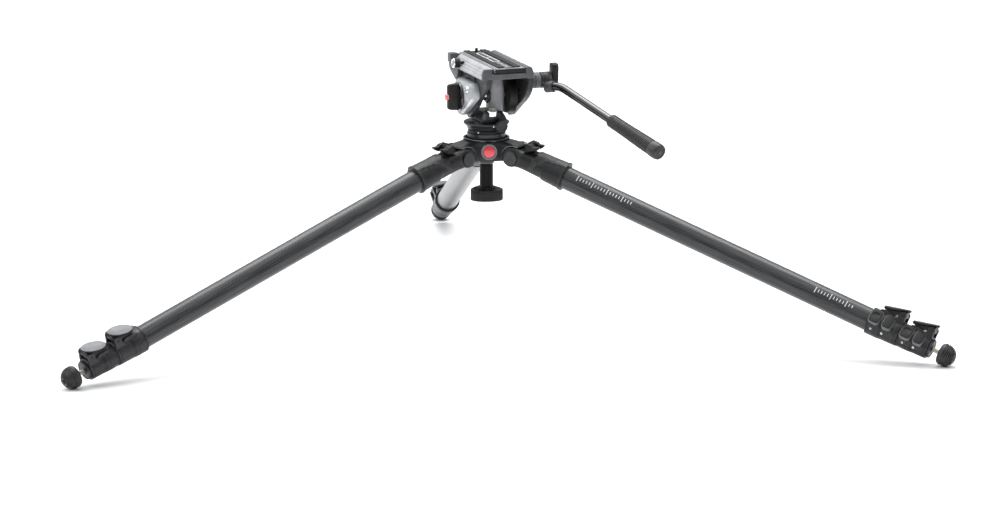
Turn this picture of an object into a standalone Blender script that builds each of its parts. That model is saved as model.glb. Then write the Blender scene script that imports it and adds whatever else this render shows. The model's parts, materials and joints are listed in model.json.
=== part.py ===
"""A camera tripod with a fluid video head, standing low on three widely spread telescopic legs.

The hub (a three-armed spider) carries a levelling half ball, held from below by a tie-down knob, and
three legs. Each leg is a casting, three tubes, two lever locks and a screw-in rubber foot. The head
pans on its base and tilts on a shaft through a central drum; a bent pan bar hangs on its right side.

+X is to the right seen from the front, +Y runs along the rear leg, +Z is up. The origin lies on the
floor, in the middle of the footprint. Lengths are in millimetres and angles in degrees: MM turns
lengths into Blender's metres as each mesh is made.
"""
import math

import bmesh
import bpy
from mathutils import Matrix, Vector

MM = 0.001
GAP = 0.3               # play between neighbouring pieces

# stance
LEG_LEAN = 70.4         # a leg's angle from the vertical
LEG_AZIMUTHS = {"leg_left": 210.0, "leg_right": 330.0, "leg_rear": 90.0}
PIVOT_RADIUS = 50.0     # from the hub's axis to a leg's pivot
FOOT_AT = 710.0         # from the pivot to the middle of the rubber foot, along the leg
FOOT_RADIUS = 17.0
PIVOT_HEIGHT = FOOT_AT * math.cos(math.radians(LEG_LEAN)) + FOOT_RADIUS
HUB_Y = -179.8          # the hub's axis, seen from the middle of the footprint

# leg
BARREL_RADIUS = 14.0    # the casting's eye round the pivot
LUG_RADIUS = 11.0
LUG_HALF = 12.0
CHEEK_HALF = 24.3
PIN_RADIUS = 6.0
PIN_CAP_RADIUS = 10.2
PIN_CAP_OUT = 28.0
CASTING_END = 82.7
CASTING_RADIUS = 20.2
SOCKET_FLOOR = 42.0
CATCH_HINGE = (16.3, 17.5)
UPPER_RADIUS = 17.0
MIDDLE_RADIUS = 14.5
LOWER_RADIUS = 12.0
TUBE_WALL = 1.5
UPPER_TUBE = (SOCKET_FLOOR + GAP, 608.0)
MIDDLE_TUBE = (92.0, 657.0)
LOWER_TUBE = (100.0, 685.0)
UPPER_LOCK = (589.0, 638.6)
LOWER_LOCK = (639.2, 685.6)
LOCK_STEP = 19.4        # how far a lock reaches over its own tube
LEVER_TURN = 15.0       # round the tube from the leg's top to its lever
LEVER_HINGE_OUT = 7.0   # lever hinge above the lock's surface
LEVER_HINGE_BACK = 5.6  # lever hinge before the lock's lower end
LEAF_BACK = 13.0        # leaf middle behind its hinge
LEAF_HALF = (20.5, 13.0)
LEAF_SLOPE = 13.0
STUD_RADIUS = 3.5
END_PLATE = (686.0, 690.2)
FOOT_BACK = 702.0

# hub and levelling ball
HUB_TOP = 276.0
HUB_BOTTOM = 248.0
ARM_REACH = 59.0
ARM_HALF = 20.0
WALL_RADIUS = 38.0
WALL_HALF = 17.0
ARCH_RADIUS = 15.2
RING_TOP = 279.5
RING_RADIUS = 34.6
BALL_CENTRE = 284.0
BALL_RADIUS = 29.0
LINER = (29.8, 31.0)     # inner and outer radius
BOWL_RADIUS = 31.8
UNDERSIDE_RADIUS = 39.7  # the hub's spherical underside, about the ball's centre
STEM_RADIUS = 10.0
KNOB_RADIUS = 23.6
KNOB_LOBE = 2.0
KNOB_LOW, KNOB_HIGH = 184.0, 201.0
BALL_STUD = 4.0

# head: x across to the right, y to the front, z up, turned with the pan
HEAD_YAW = 13.85
BASE_RADIUS = 27.5
HOUSING_RADIUS = 34.0
HOUSING_TOP = 303.0
TILT_HEIGHT = 342.0
DRUM_RADIUS = 34.0
DRUM_SIDES = (-6.0, 18.0)
DRUM_NECK = 50.0        # angle below the shaft where the drum runs into its foot
DRUM_FOOT = 23.0        # half the foot's depth
SHAFT_RADIUS = 8.0
SIDE_PLATE_RADIUS = 35.0
LEFT_PLATE = (-24.0, -17.0)
RIGHT_PLATE = (39.0, 47.0)
SEAT_SPAN = (-75.0, 80.0)
SEAT_LEFT, SEAT_RIGHT = -33.0, 47.0
SEAT_LOW, SEAT_FLOOR, SEAT_TOP = 378.0, 386.0, 393.0
PLATE_CENTRE = (11.0, 6.5)
PLATE_HALF = (24.0, 79.0)
PAD_TOP = 395.0
PAD_STRIP = (8.0, 17.5)      # inner and outer edge of a grip strip, from the plate's middle
SLOT = (-15.0, 62.0)
SLOT_HALF = 3.5
VIDEO_PIN_Y = 74.0
PLATE_LOCK = (31.0, 386.5)
RELEASE = (52.0, 386.0)
PAN_KNOB_AZIMUTH = -75.0
PAN_KNOB_HEIGHT = 300.5
ROSETTE = (-38.0, 366.0)
BAR_START = (77.0, -46.0, 356.5)
BAR_BEND = (92.0, -64.0, 360.0)
BAR_END = (168.0, -272.0, 293.0)
BAR_RADIUS = 6.5
GRIP_LENGTH = 112.0


def clear_scene():
    """Start from an empty scene."""
    for old in list(bpy.data.objects):
        bpy.data.objects.remove(old)


def finish(name, colour, roughness, metallic):
    """A Principled material."""
    made = bpy.data.materials.new(name)
    made.use_nodes = True
    shader = made.node_tree.nodes["Principled BSDF"]
    shader.inputs["Base Color"].default_value = (*colour, 1.0)
    shader.inputs["Roughness"].default_value = roughness
    shader.inputs["Metallic"].default_value = metallic
    return made


def guide(name, parent, location=(0, 0, 0), turn=(0, 0, 0)):
    """An empty that carries pieces, placed in millimetres and turned in degrees."""
    made = bpy.data.objects.new(name, None)
    bpy.context.collection.objects.link(made)
    made.parent = parent
    made.location = Vector(location) * MM
    made.rotation_euler = [math.radians(angle) for angle in turn]
    made.hide_render = True
    return made


def piece(name, shape, material, parent, location=(0, 0, 0), turn=(0, 0, 0)):
    """An object from a bmesh in millimetres."""
    bmesh.ops.recalc_face_normals(shape, faces=shape.faces)
    bmesh.ops.scale(shape, vec=(MM, MM, MM), verts=shape.verts)
    mesh = bpy.data.meshes.new(name)
    shape.to_mesh(mesh)
    shape.free()
    mesh.materials.append(material)
    mesh.shade_smooth()
    mesh.set_sharp_from_angle(angle=math.radians(35))
    made = bpy.data.objects.new(name, mesh)
    bpy.context.collection.objects.link(made)
    made.parent = parent
    made.location = Vector(location) * MM
    made.rotation_euler = [math.radians(angle) for angle in turn]
    return made


def combine(target, operation, shape):
    """Join a shape on to a piece, or cut it out of one, with a live Boolean in the piece's own axes."""
    tool = piece(f"{target.name}_tool_{len(target.modifiers)}", shape, target.data.materials[0], target)
    tool.hide_render = True
    tool.display_type = "WIRE"
    boolean = target.modifiers.new(operation.title(), "BOOLEAN")
    boolean.operation = operation
    boolean.object = tool


def join(target, shape):
    combine(target, "UNION", shape)


def cut(target, shape):
    combine(target, "DIFFERENCE", shape)


def spot(across, up, along, axis):
    """A point from its place along an axis and its place on the plane across that axis."""
    if axis == "X":
        return Vector((along, across, up))
    if axis == "Y":
        return Vector((across, along, up))
    return Vector((across, up, along))


def skin(shape, rings, closed):
    """Faces between neighbouring rings of vertices, where a ring of one vertex is a pole."""
    pairs = list(zip(rings, rings[1:]))
    if closed:
        pairs.append((rings[-1], rings[0]))
    sides = max(len(ring) for ring in rings)
    for low, high in pairs:
        for i in range(sides):
            j = (i + 1) % sides
            corners = [low[i % len(low)], low[j % len(low)], high[j % len(high)], high[i % len(high)]]
            corners = list(dict.fromkeys(corners))
            if len(corners) > 2:
                shape.faces.new(corners)
    if not closed:
        for ring in (rings[0], rings[-1]):
            if len(ring) > 2:
                shape.faces.new(ring)


def turned(profile, sides=20, axis="Z", loop=False, centre=(0.0, 0.0)):
    """A profile of (along, radius) points spun round an axis; loop joins its last point to its first."""
    shape = bmesh.new()
    rings = []
    for along, radius in profile:
        count = sides if radius else 1
        ring = []
        for i in range(count):
            angle = 2 * math.pi * i / sides - math.pi / 2
            across = centre[0] + radius * math.cos(angle)
            up = centre[1] + radius * math.sin(angle)
            ring.append(shape.verts.new(spot(across, up, along, axis)))
        rings.append(ring)
    skin(shape, rings, loop)
    return shape


def prism(outline, low, high, axis="Z"):
    """A flat outline pushed out from low to high along an axis."""
    shape = bmesh.new()
    rings = [[shape.verts.new(spot(u, v, along, axis)) for u, v in outline] for along in (low, high)]
    skin(shape, rings, False)
    return shape


def block(low, high):
    """A box between two corners."""
    outline = [(low[0], low[1]), (high[0], low[1]), (high[0], high[1]), (low[0], high[1])]
    return prism(outline, low[2], high[2])


def loft(sections):
    """A solid through sections, each a list of as many points."""
    shape = bmesh.new()
    rings = [[shape.verts.new(point) for point in section] for section in sections]
    skin(shape, rings, False)
    return shape


def arc(centre, radius, start, end, steps):
    """Points on an arc, from one angle to another."""
    angles = [math.radians(start + (end - start) * i / steps) for i in range(steps + 1)]
    return [(centre[0] + radius * math.cos(a), centre[1] + radius * math.sin(a)) for a in angles]


def rounded_section(along, half_width, half_height, squareness, sides=16):
    """A section across the leg, between an ellipse (squareness 1) and a box."""
    points = []
    for i in range(sides):
        angle = 2 * math.pi * i / sides - math.pi / 2
        across, up = math.cos(angle), math.sin(angle)
        bulge = (abs(across) ** (2 * squareness) + abs(up) ** (2 * squareness)) ** (-0.5 / squareness)
        points.append(Vector((along, half_width * across * bulge, half_height * up * bulge)))
    return points


def tube(low, high, outer, inner, sides=20, axis="X"):
    """A plain pipe."""
    return turned([(low, outer), (high, outer), (high, inner), (low, inner)], sides, axis, loop=True)


def build_casting(leg, name, cast):
    """The leg's top casting: two cheeks round the hub's lug, a neck, and the socket for the upper tube."""
    sleeve = [
        (24, 0), (24, 13), (30, 15.6), (38, 18.2), (60, 19.6), (CASTING_END - 3, CASTING_RADIUS),
        (CASTING_END - 3, CASTING_RADIUS + 0.7), (CASTING_END, CASTING_RADIUS + 0.7),
        (CASTING_END, UPPER_RADIUS + GAP), (SOCKET_FLOOR, UPPER_RADIUS + GAP), (SOCKET_FLOOR, 0),
    ]
    casting = piece(f"{name}_casting", turned(sleeve, 20, "X"), cast, leg)
    neck = [
        rounded_section(3, CHEEK_HALF, 12.6, 3),
        rounded_section(16, 23.5, 13.6, 2.4),
        rounded_section(28, 21, 15.2, 1.5),
        rounded_section(38, 18.6, 18.0, 1),
    ]
    join(casting, loft(neck))
    barrel = [(-CHEEK_HALF, BARREL_RADIUS), (CHEEK_HALF, BARREL_RADIUS)]
    join(casting, turned(barrel, 18, "Y"))
    rib = arc(CATCH_HINGE, 5, 0, 180, 4) + [(CATCH_HINGE[0] - 5, 11), (CATCH_HINGE[0] + 5, 11)]
    join(casting, prism(rib, -4, 4, "Y"))
    slot_half = LUG_HALF + GAP
    cut(casting, block((-20, -slot_half, -20), (LUG_RADIUS + 1.5, slot_half, 20)))
    cut(casting, turned([(-40, PIN_RADIUS + GAP), (40, PIN_RADIUS + GAP)], 12, "Y"))
    cut(casting, turned([(-6, 2.3), (6, 2.3)], 8, "Y", centre=CATCH_HINGE))


def build_catch(leg, name, cast):
    """The rocking catch that frees the leg's angle stop: a saddle with two upswept ears."""
    x, z = CATCH_HINGE
    hinge = guide(f"{name}_catch_hinge", leg, (x, 0, z))
    saddle = [(-5, -2.6), (2, -2.6), (22, 6.4), (26, 12), (25, 16), (16, 12), (9, 14), (-5.5, 11.5)]
    catch = piece(f"{name}_angle_catch", prism(saddle, -13, 13, "Y"), cast, hinge)
    cut(catch, block((-7, -4.4, -6), (6, 4.4, 6)))
    cut(catch, prism([(12, 11), (30, 7), (30, 20), (12, 20)], -5, 5, "Y"))
    join(catch, turned([(-9, 2), (9, 2)], 8, "Y"))


def build_pin(leg, name, metal):
    """The pivot pin with its two round caps."""
    profile = [
        (-PIN_CAP_OUT, PIN_CAP_RADIUS),
        (-CHEEK_HALF - GAP, PIN_CAP_RADIUS), (-CHEEK_HALF - GAP, PIN_RADIUS),
        (CHEEK_HALF + GAP, PIN_RADIUS), (CHEEK_HALF + GAP, PIN_CAP_RADIUS),
        (PIN_CAP_OUT, PIN_CAP_RADIUS),
    ]
    piece(f"{name}_pivot_pin", turned(profile, 12, "Y"), metal, leg)


def build_lock(leg, name, span, step_radius, bore_radius, outer, cast, lever_metal):
    """A lever lock: a collar that grips the next tube, and its leaf-shaped lever."""
    low, high = span
    step = low + LOCK_STEP
    collar = [
        (low, step_radius + GAP), (low, outer + 0.8), (low + 18, outer + 0.8), (low + 26, outer),
        (high, outer - 0.7), (high, bore_radius + GAP), (step, bore_radius + GAP),
        (step, step_radius + GAP),
    ]
    lock = piece(f"{name}_lock", turned(collar, 20, "X", loop=True), cast, leg, turn=(-LEVER_TURN, 0, 0))
    hinge_x = high - LEVER_HINGE_BACK
    hinge_z = outer + LEVER_HINGE_OUT
    for side in (-1, 1):
        near, far = sorted((side * 9.8, side * 13))
        ear = arc((hinge_x, hinge_z), 5.6, -10, 190, 4)
        ear += [(hinge_x - 9, outer - 8), (high, outer - 8)]
        join(lock, prism(ear, near, far, "Y"))
    cut(lock, turned([(-20, 2.3), (20, 2.3)], 8, "Y", centre=(hinge_x, hinge_z)))
    bore = [(low - 1, step_radius + GAP), (step, step_radius + GAP), (step, bore_radius + GAP)]
    cut(lock, turned(bore + [(high + 1, bore_radius + GAP)], 20, "X"))

    turn = math.radians(-LEVER_TURN)
    place = (hinge_x, -hinge_z * math.sin(turn), hinge_z * math.cos(turn))
    hinge = guide(f"{name}_lever_hinge", leg, place, (-LEVER_TURN, 0, 0))
    slope = math.radians(LEAF_SLOPE)
    leaf = []
    for lift, grow in ((6.0, 0.86), (8.0, 1.0), (10.0, 0.9)):
        section = []
        for i in range(14):
            angle = 2 * math.pi * i / 14
            along = -LEAF_BACK + LEAF_HALF[0] * grow * math.cos(angle)
            rise = lift + along * math.sin(slope)
            section.append(Vector((along, LEAF_HALF[1] * grow * math.sin(angle), rise)))
        leaf.append(section)
    lever = piece(f"{name}_lever", loft(leaf), lever_metal, hinge)
    join(lever, turned([(-9.5, 4.8), (9.5, 4.8)], 10, "Y"))
    join(lever, prism([(-9, -1), (3, -1), (2.4, 7.8), (-9, 6)], -9, 9, "Y"))
    join(lever, turned([(-13.4, 2), (13.4, 2)], 6, "Y"))


def build_foot(leg, name, steel, rubber):
    """The plug with its stud and spike, and the rubber foot that screws along the stud."""
    low, high = END_PLATE
    stud = [
        (660, 0), (660, LOWER_RADIUS - TUBE_WALL - GAP), (low - 0.1, LOWER_RADIUS - TUBE_WALL - GAP),
        (low - 0.1, 14), (high - 1, 14), (high, 13), (high, STUD_RADIUS), (714, STUD_RADIUS), (722, 0),
    ]
    piece(f"{name}_foot_stud", turned(stud, 12, "X"), steel, leg)
    bore = STUD_RADIUS + GAP
    dome = [(FOOT_BACK, bore), (FOOT_BACK, 13.8)]
    touch = 90 - LEG_LEAN
    for angle in (110, 90, 90 - touch, 50, 30):
        rad = math.radians(angle)
        dome.append((FOOT_AT + FOOT_RADIUS * math.cos(rad), FOOT_RADIUS * math.sin(rad)))
    dome.append((FOOT_AT + FOOT_RADIUS * math.cos(math.radians(20)), bore))
    piece(f"{name}_rubber_foot", turned(dome, 16, "X", loop=True), rubber, leg)


def build_leg(hub, name, azimuth, finishes):
    """One leg, along its own X axis from the pivot down to the foot."""
    spread = guide(f"{name}_azimuth", hub, turn=(0, 0, azimuth))
    leg = guide(f"{name}_pivot", spread, (PIVOT_RADIUS, 0, PIVOT_HEIGHT), (0, 90 - LEG_LEAN, 0))
    build_pin(leg, name, finishes["dark_steel"])
    build_casting(leg, name, finishes["cast"])
    build_catch(leg, name, finishes["plastic"])
    tubes = (
        ("upper", UPPER_TUBE, UPPER_RADIUS), ("middle", MIDDLE_TUBE, MIDDLE_RADIUS),
        ("lower", LOWER_TUBE, LOWER_RADIUS),
    )
    for part, (low, high), radius in tubes:
        shape = tube(low, high, radius, radius - TUBE_WALL)
        piece(f"{name}_{part}_tube", shape, finishes["carbon"], leg)
    build_lock(leg, f"{name}_upper", UPPER_LOCK, UPPER_RADIUS, MIDDLE_RADIUS, 19.3,
               finishes["cast"], finishes["lever"])
    build_lock(leg, f"{name}_lower", LOWER_LOCK, MIDDLE_RADIUS, LOWER_RADIUS, 17.2,
               finishes["cast"], finishes["lever"])
    build_foot(leg, name, finishes["steel"], finishes["rubber"])


def about_leg(point, azimuth):
    """A plan point given along a leg's azimuth, turned into the hub's axes."""
    turn = math.radians(azimuth)
    x, y = point
    return (x * math.cos(turn) - y * math.sin(turn), x * math.sin(turn) + y * math.cos(turn))


def hub_outline():
    """The spider's plan: three arms, and the wall between each two."""
    outline = []
    for azimuth in (90, 210, 330):
        for reach, half, turn in ((ARM_REACH, ARM_HALF, azimuth), (WALL_RADIUS, WALL_HALF, azimuth + 60)):
            outline += [about_leg((reach, -half), turn), about_leg((reach, half), turn)]
    return outline


def turn_shape(shape, azimuth):
    """Turn a shape about the hub's axis."""
    turn = Matrix.Rotation(math.radians(azimuth), 3, "Z")
    bmesh.ops.rotate(shape, cent=(0, 0, 0), matrix=turn, verts=shape.verts)
    return shape


def ball_profile(radius, high, low, steps):
    """(height, radius) points down a sphere about the levelling ball's centre, between two polar angles."""
    angles = [math.radians(high + (low - high) * i / steps) for i in range(steps + 1)]
    return [(BALL_CENTRE + radius * math.cos(a), radius * math.sin(a)) for a in angles]


def build_spider(hub, cast):
    """The hub's casting, with an arch and a lug for each leg and a bowl for the levelling ball."""
    spider = piece("spider", prism(hub_outline(), HUB_BOTTOM, HUB_TOP), cast, hub)
    boss = [(266, 0), (266, 18), (252, 18)] + ball_profile(UNDERSIDE_RADIUS, 154, 180, 4)[:-1]
    boss.append((BALL_CENTRE - UNDERSIDE_RADIUS, 0))
    join(spider, turned(boss, 24))
    bowl = [(BALL_CENTRE + BOWL_RADIUS, 0)] + ball_profile(BOWL_RADIUS, 20, 165, 10)
    cut(spider, turned(bowl + [(bowl[-1][0], 0)], 24))
    cut(spider, turned([(230, 11.3), (270, 11.3)], 16))
    for azimuth in LEG_AZIMUTHS.values():
        centre = (PIVOT_RADIUS, PIVOT_HEIGHT)
        arch = arc(centre, ARCH_RADIUS, 90, 270, 8)
        arch += [(90, PIVOT_HEIGHT - 30), (90, PIVOT_HEIGHT + ARCH_RADIUS)]
        cut(spider, turn_shape(prism(arch, -40, 40, "Y"), azimuth))
        lug = arc(centre, LUG_RADIUS, -90, 90, 6) + [(31, PIVOT_HEIGHT + LUG_RADIUS), (31, HUB_BOTTOM + 1)]
        join(spider, turn_shape(prism(lug, -LUG_HALF, LUG_HALF, "Y"), azimuth))
        pin = turned([(-20, PIN_RADIUS + GAP), (20, PIN_RADIUS + GAP)], 12, "Y", centre=centre)
        cut(spider, turn_shape(pin, azimuth))


def build_levelling(hub, finishes):
    """The bowl's ring and liner, the half ball with its stud, and the clamp below the hub."""
    ring = tube(HUB_TOP + GAP, RING_TOP, RING_RADIUS, BOWL_RADIUS - 0.1, 32, "Z")
    piece("bowl_ring", ring, finishes["cast"], hub)
    ball = guide("ball_centre", hub, (0, 0, BALL_CENTRE))
    drop = (0, 0, -BALL_CENTRE)
    liner = ball_profile(LINER[1], 104, 148, 4) + ball_profile(LINER[0], 148, 104, 4)
    piece("bowl_liner", turned(liner, 24, loop=True), finishes["plastic"], ball, drop)
    flat = math.degrees(math.acos(2 / BALL_RADIUS))
    half = [(BALL_CENTRE + 2, 0)] + ball_profile(BALL_RADIUS, flat, 171, 6)
    half += [(half[-1][0], BALL_STUD), (208, BALL_STUD), (207, BALL_STUD - 1), (207, 0)]
    piece("half_ball", turned(half, 24), finishes["alloy"], ball, drop)

    seat_radius = UNDERSIDE_RADIUS + 2 * GAP
    top = [(BALL_CENTRE - math.sqrt(seat_radius ** 2 - r * r), r) for r in (4.4, 8.0, 11.6)]
    cup = top + [(239.5, 11.6), (238.6, 10.8), (238.6, 4.4)]
    piece("clamp_cup", turned(cup, 20, loop=True), finishes["alloy"], ball, drop)
    lobes = []
    for i in range(30):
        angle = 2 * math.pi * i / 30
        radius = KNOB_RADIUS + KNOB_LOBE * math.cos(3 * angle)
        lobes.append((radius * math.cos(angle), radius * math.sin(angle)))
    knob = piece("tie_down_knob", prism(lobes, KNOB_LOW, KNOB_HIGH), finishes["plastic"], ball, drop)
    join(knob, turned([(198, 12.5), (204, 12.5), (205, STEM_RADIUS), (238.3, STEM_RADIUS)], 20))
    cut(knob, turned([(200, BALL_STUD + GAP), (240, BALL_STUD + GAP)], 16))


def build_pan(head, finishes):
    """The head's fixed base, the pan housing on it, the pan lock and the drum that holds the tilt shaft."""
    base = [(BALL_CENTRE + 2.3, BASE_RADIUS), (291, BASE_RADIUS), (292, BASE_RADIUS - 1)]
    piece("head_base", turned(base, 28), finishes["plastic"], head)
    housing = [
        (292.3, 28.5), (294, 29.5), (299, HOUSING_RADIUS - 1), (301.5, HOUSING_RADIUS), (HOUSING_TOP, 32.5),
    ]
    pan = piece("pan_housing", turned(housing, 28), finishes["painted"], head)
    aim = guide("pan_knob_axis", head, (0, 0, PAN_KNOB_HEIGHT), (0, 0, PAN_KNOB_AZIMUTH))
    centre = (0, PAN_KNOB_HEIGHT)
    join(pan, turn_shape(turned([(26, 5.5), (34.5, 5.5)], 12, "X", centre=centre), PAN_KNOB_AZIMUTH))
    cut(pan, turn_shape(turned([(27.5, 2.8), (40, 2.8)], 10, "X", centre=centre), PAN_KNOB_AZIMUTH))
    knob = [
        (29, 0), (29, 2.4), (34.9, 2.4), (34.9, 8.4), (36, 9.3), (42, 9.3), (43, 8.6), (43, 7), (42.4, 6.4),
        (42.4, 0),
    ]
    piece("pan_lock_knob", turned(knob, 16, "X"), finishes["plastic"], aim)

    low, high = DRUM_SIDES
    outline = arc((0, TILT_HEIGHT), DRUM_RADIUS, -DRUM_NECK, 180 + DRUM_NECK, 22)
    outline += [(-DRUM_FOOT, HOUSING_TOP + GAP), (DRUM_FOOT, HOUSING_TOP + GAP)]
    drum = piece("tilt_drum", prism(outline, low, high, "X"), finishes["grey"], head)
    bevel = drum.modifiers.new("Rounded rim", "BEVEL")
    bevel.width = 2.5 * MM
    bevel.segments = 1
    bevel.limit_method = "ANGLE"
    bevel.angle_limit = math.radians(50)
    shaft = [(low - 5, SHAFT_RADIUS + GAP), (high + 5, SHAFT_RADIUS + GAP)]
    cut(drum, turned(shaft, 16, "X", centre=(0, TILT_HEIGHT)))


def side_plate_outline():
    """A side plate's outline in (y, z): a steep front, a rounded toe and a long straight edge behind."""
    front = [(68, SEAT_LOW + 2), (68, SEAT_LOW - 6), (56, 358), (33, 330)]
    toe = arc((11, 317.5), 10.5, -25, -120, 5)
    rear = [(-38, 333), (-60, 347.5), (-70, 358), (-74.5, 369), (-75, SEAT_LOW + 2)]
    return front + toe + rear


def build_tilt_frame(tilt, finishes):
    """The tilting frame: the seat for the sliding plate on two side plates, and the pan bar's rosette."""
    middle = PLATE_CENTRE[0]
    rail = PLATE_HALF[0] + 0.6
    section = [
        (SEAT_LEFT, SEAT_LOW), (SEAT_RIGHT, SEAT_LOW), (SEAT_RIGHT, SEAT_LOW + 8), (44.5, SEAT_TOP),
        (middle + rail, SEAT_TOP), (middle + rail, SEAT_FLOOR), (middle - rail, SEAT_FLOOR),
        (middle - rail, SEAT_TOP), (-18.5, SEAT_TOP), (SEAT_LEFT, SEAT_LOW + 2),
    ]
    seat = prism(section, *SEAT_SPAN, "Y")
    frame = piece("tilt_frame", seat, finishes["painted"], tilt, (0, 0, -TILT_HEIGHT))
    outline = side_plate_outline()
    join(frame, prism(outline, *LEFT_PLATE, "X"))
    join(frame, prism(outline, *RIGHT_PLATE, "X"))
    join(frame, turned([(SEAT_RIGHT - 1, 12), (69, 12)], 20, "X", centre=ROSETTE))
    join(frame, turned([(SEAT_LEFT, 7.5), (-20, 7.5)], 14, "X", centre=PLATE_LOCK))
    shaft = [(-30, SHAFT_RADIUS + GAP), (60, SHAFT_RADIUS + GAP)]
    cut(frame, turned(shaft, 16, "X", centre=(0, TILT_HEIGHT)))
    cut(frame, turned([(60, 3.2), (75, 3.2)], 10, "X", centre=ROSETTE))
    cut(frame, turned([(-45, 2.8), (-20, 2.8)], 10, "X", centre=PLATE_LOCK))
    cut(frame, turned([(-45, 3.6), (-20, 3.6)], 10, "X", centre=RELEASE))


def cover_outline():
    """The tilt cover's outline in (y, z) about the shaft: round in front, with a blunt corner behind."""
    return arc((0, 0), 36, -62, 41, 10) + [(-38, 24), (-50, 10)]


def build_tilt_controls(tilt, finishes):
    """The tilt shaft, the left cover with the tilt lock on it, the plate's lock and its release button."""
    down = (0, 0, -TILT_HEIGHT)
    axis = (0, TILT_HEIGHT)
    shaft = [(LEFT_PLATE[0], SHAFT_RADIUS), (RIGHT_PLATE[1] - 1, SHAFT_RADIUS)]
    piece("tilt_shaft", turned(shaft, 16, "X", centre=axis), finishes["steel"], tilt, down)
    sections = []
    for x, grow in ((-24.3, 1.0), (-34, 0.97), (-40, 0.84), (-42, 0.72)):
        outline = [(y * grow, TILT_HEIGHT + z * grow) for y, z in cover_outline()]
        sections.append([Vector((x, y, z)) for y, z in outline])
    cover = piece("tilt_cover", loft(sections), finishes["grey"], tilt, down)
    cut(cover, turned([(-45, 4.4), (-37, 4.4)], 16, "X", centre=axis))
    knob = [(-37.4, 0), (-37.4, 4), (-42.4, 4), (-42.4, 20), (-43.4, 21), (-46, 21), (-47, 19.6), (-47, 0)]
    lock = piece("tilt_lock_knob", turned(knob, 20, "X", centre=axis), finishes["plastic"], tilt, down)
    grip = [(-16, -7.5), (16, -7.5), (16, 7.5), (-16, 7.5)]
    join(lock, prism([(y, z + TILT_HEIGHT) for z, y in grip], -61, -46, "X"))

    ring = [
        (-24, 0), (-24, 2.4), (-33.4, 2.4), (-33.4, 6.8), (-34.4, 7.3), (-41, 7.3), (-42, 6.4), (-42, 0),
    ]
    piece("plate_lock_knob", turned(ring, 16, "X", centre=PLATE_LOCK), finishes["steel"], tilt, down)
    button = [(-24.4, 3.2), (-34, 3.2), (-35, 2.4)]
    piece("plate_release_button", turned(button, 12, "X", centre=RELEASE), finishes["white"], tilt, down)


def build_plate(tilt, finishes):
    """The sliding camera plate with its grip strips, camera screw and anti-twist pin."""
    down = (0, 0, -TILT_HEIGHT)
    x, y = PLATE_CENTRE
    half, reach = PLATE_HALF
    low = SEAT_FLOOR + GAP
    slab = block((x - half, y - reach, low), (x + half, y + reach, SEAT_TOP))
    plate = piece("sliding_plate", slab, finishes["grey"], tilt, down)
    cut(plate, block((x - SLOT_HALF, SLOT[0], low - 2), (x + SLOT_HALF, SLOT[1], SEAT_TOP + 2)))
    cut(plate, block((x - 8, SLOT[0] - 4, low - 2), (x + 8, SLOT[1] + 4, low + 3.4)))
    cut(plate, turned([(low + 1.2, 2.6), (SEAT_TOP + 2, 2.6)], 12, centre=(x, VIDEO_PIN_Y)))
    inner, outer = PAD_STRIP
    front, back = y + reach - 2, y - reach + 4
    pads = [
        (x - outer, front), (x - inner, front), (x - inner, back + 4), (x + inner, back + 4),
        (x + inner, front), (x + outer, front), (x + outer, back), (x - outer, back),
    ]
    piece("plate_pad", prism(pads, SEAT_TOP + GAP, PAD_TOP), finishes["rubber"], tilt, down)
    middle = (x, sum(SLOT) / 2)
    screw = [(low + 0.2, 7.5), (low + 2.8, 7.5), (low + 2.8, 3.1), (SEAT_TOP, 3.1)]
    piece("camera_screw", turned(screw, 14, centre=middle), finishes["steel"], tilt, down)
    pin = [(SEAT_TOP - 1.2, 2.3), (PAD_TOP + 3.4, 2.3), (PAD_TOP + 4, 1.7)]
    piece("video_pin", turned(pin, 12, centre=(x, VIDEO_PIN_Y)), finishes["plastic"], tilt, down)


def bar_points():
    """The pan bar's middle line: straight out of its clamp, round one bend and straight to the grip."""
    start, bend, end = Vector(BAR_START), Vector(BAR_BEND), Vector(BAR_END)
    inward, outward = (start - bend).normalized(), (end - bend).normalized()
    reach = 13.0
    first, last = bend + inward * reach, bend + outward * reach
    curve = []
    for i in range(7):
        t = i / 6
        curve.append(first * (1 - t) ** 2 + bend * 2 * t * (1 - t) + last * t * t)
    return [start - inward * 3] + curve + [end - outward * 4]


def sweep(points, radius, sides):
    """A round bar along a line of points."""
    sections = []
    for i, point in enumerate(points):
        before, after = points[max(i - 1, 0)], points[min(i + 1, len(points) - 1)]
        along = (after - before).normalized()
        side = along.cross(Vector((0, 0, 1))).normalized()
        up = side.cross(along)
        ring = []
        for k in range(sides):
            angle = 2 * math.pi * k / sides
            ring.append(point + side * radius * math.cos(angle) + up * radius * math.sin(angle))
        sections.append(ring)
    return loft(sections)


def aimed(shape, origin, direction):
    """Move a shape made along X so that it starts at a point and runs in a direction."""
    turn = Vector((1, 0, 0)).rotation_difference(Vector(direction)).to_matrix().to_4x4()
    bmesh.ops.transform(shape, matrix=Matrix.Translation(Vector(origin)) @ turn, verts=shape.verts)
    return shape


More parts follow.
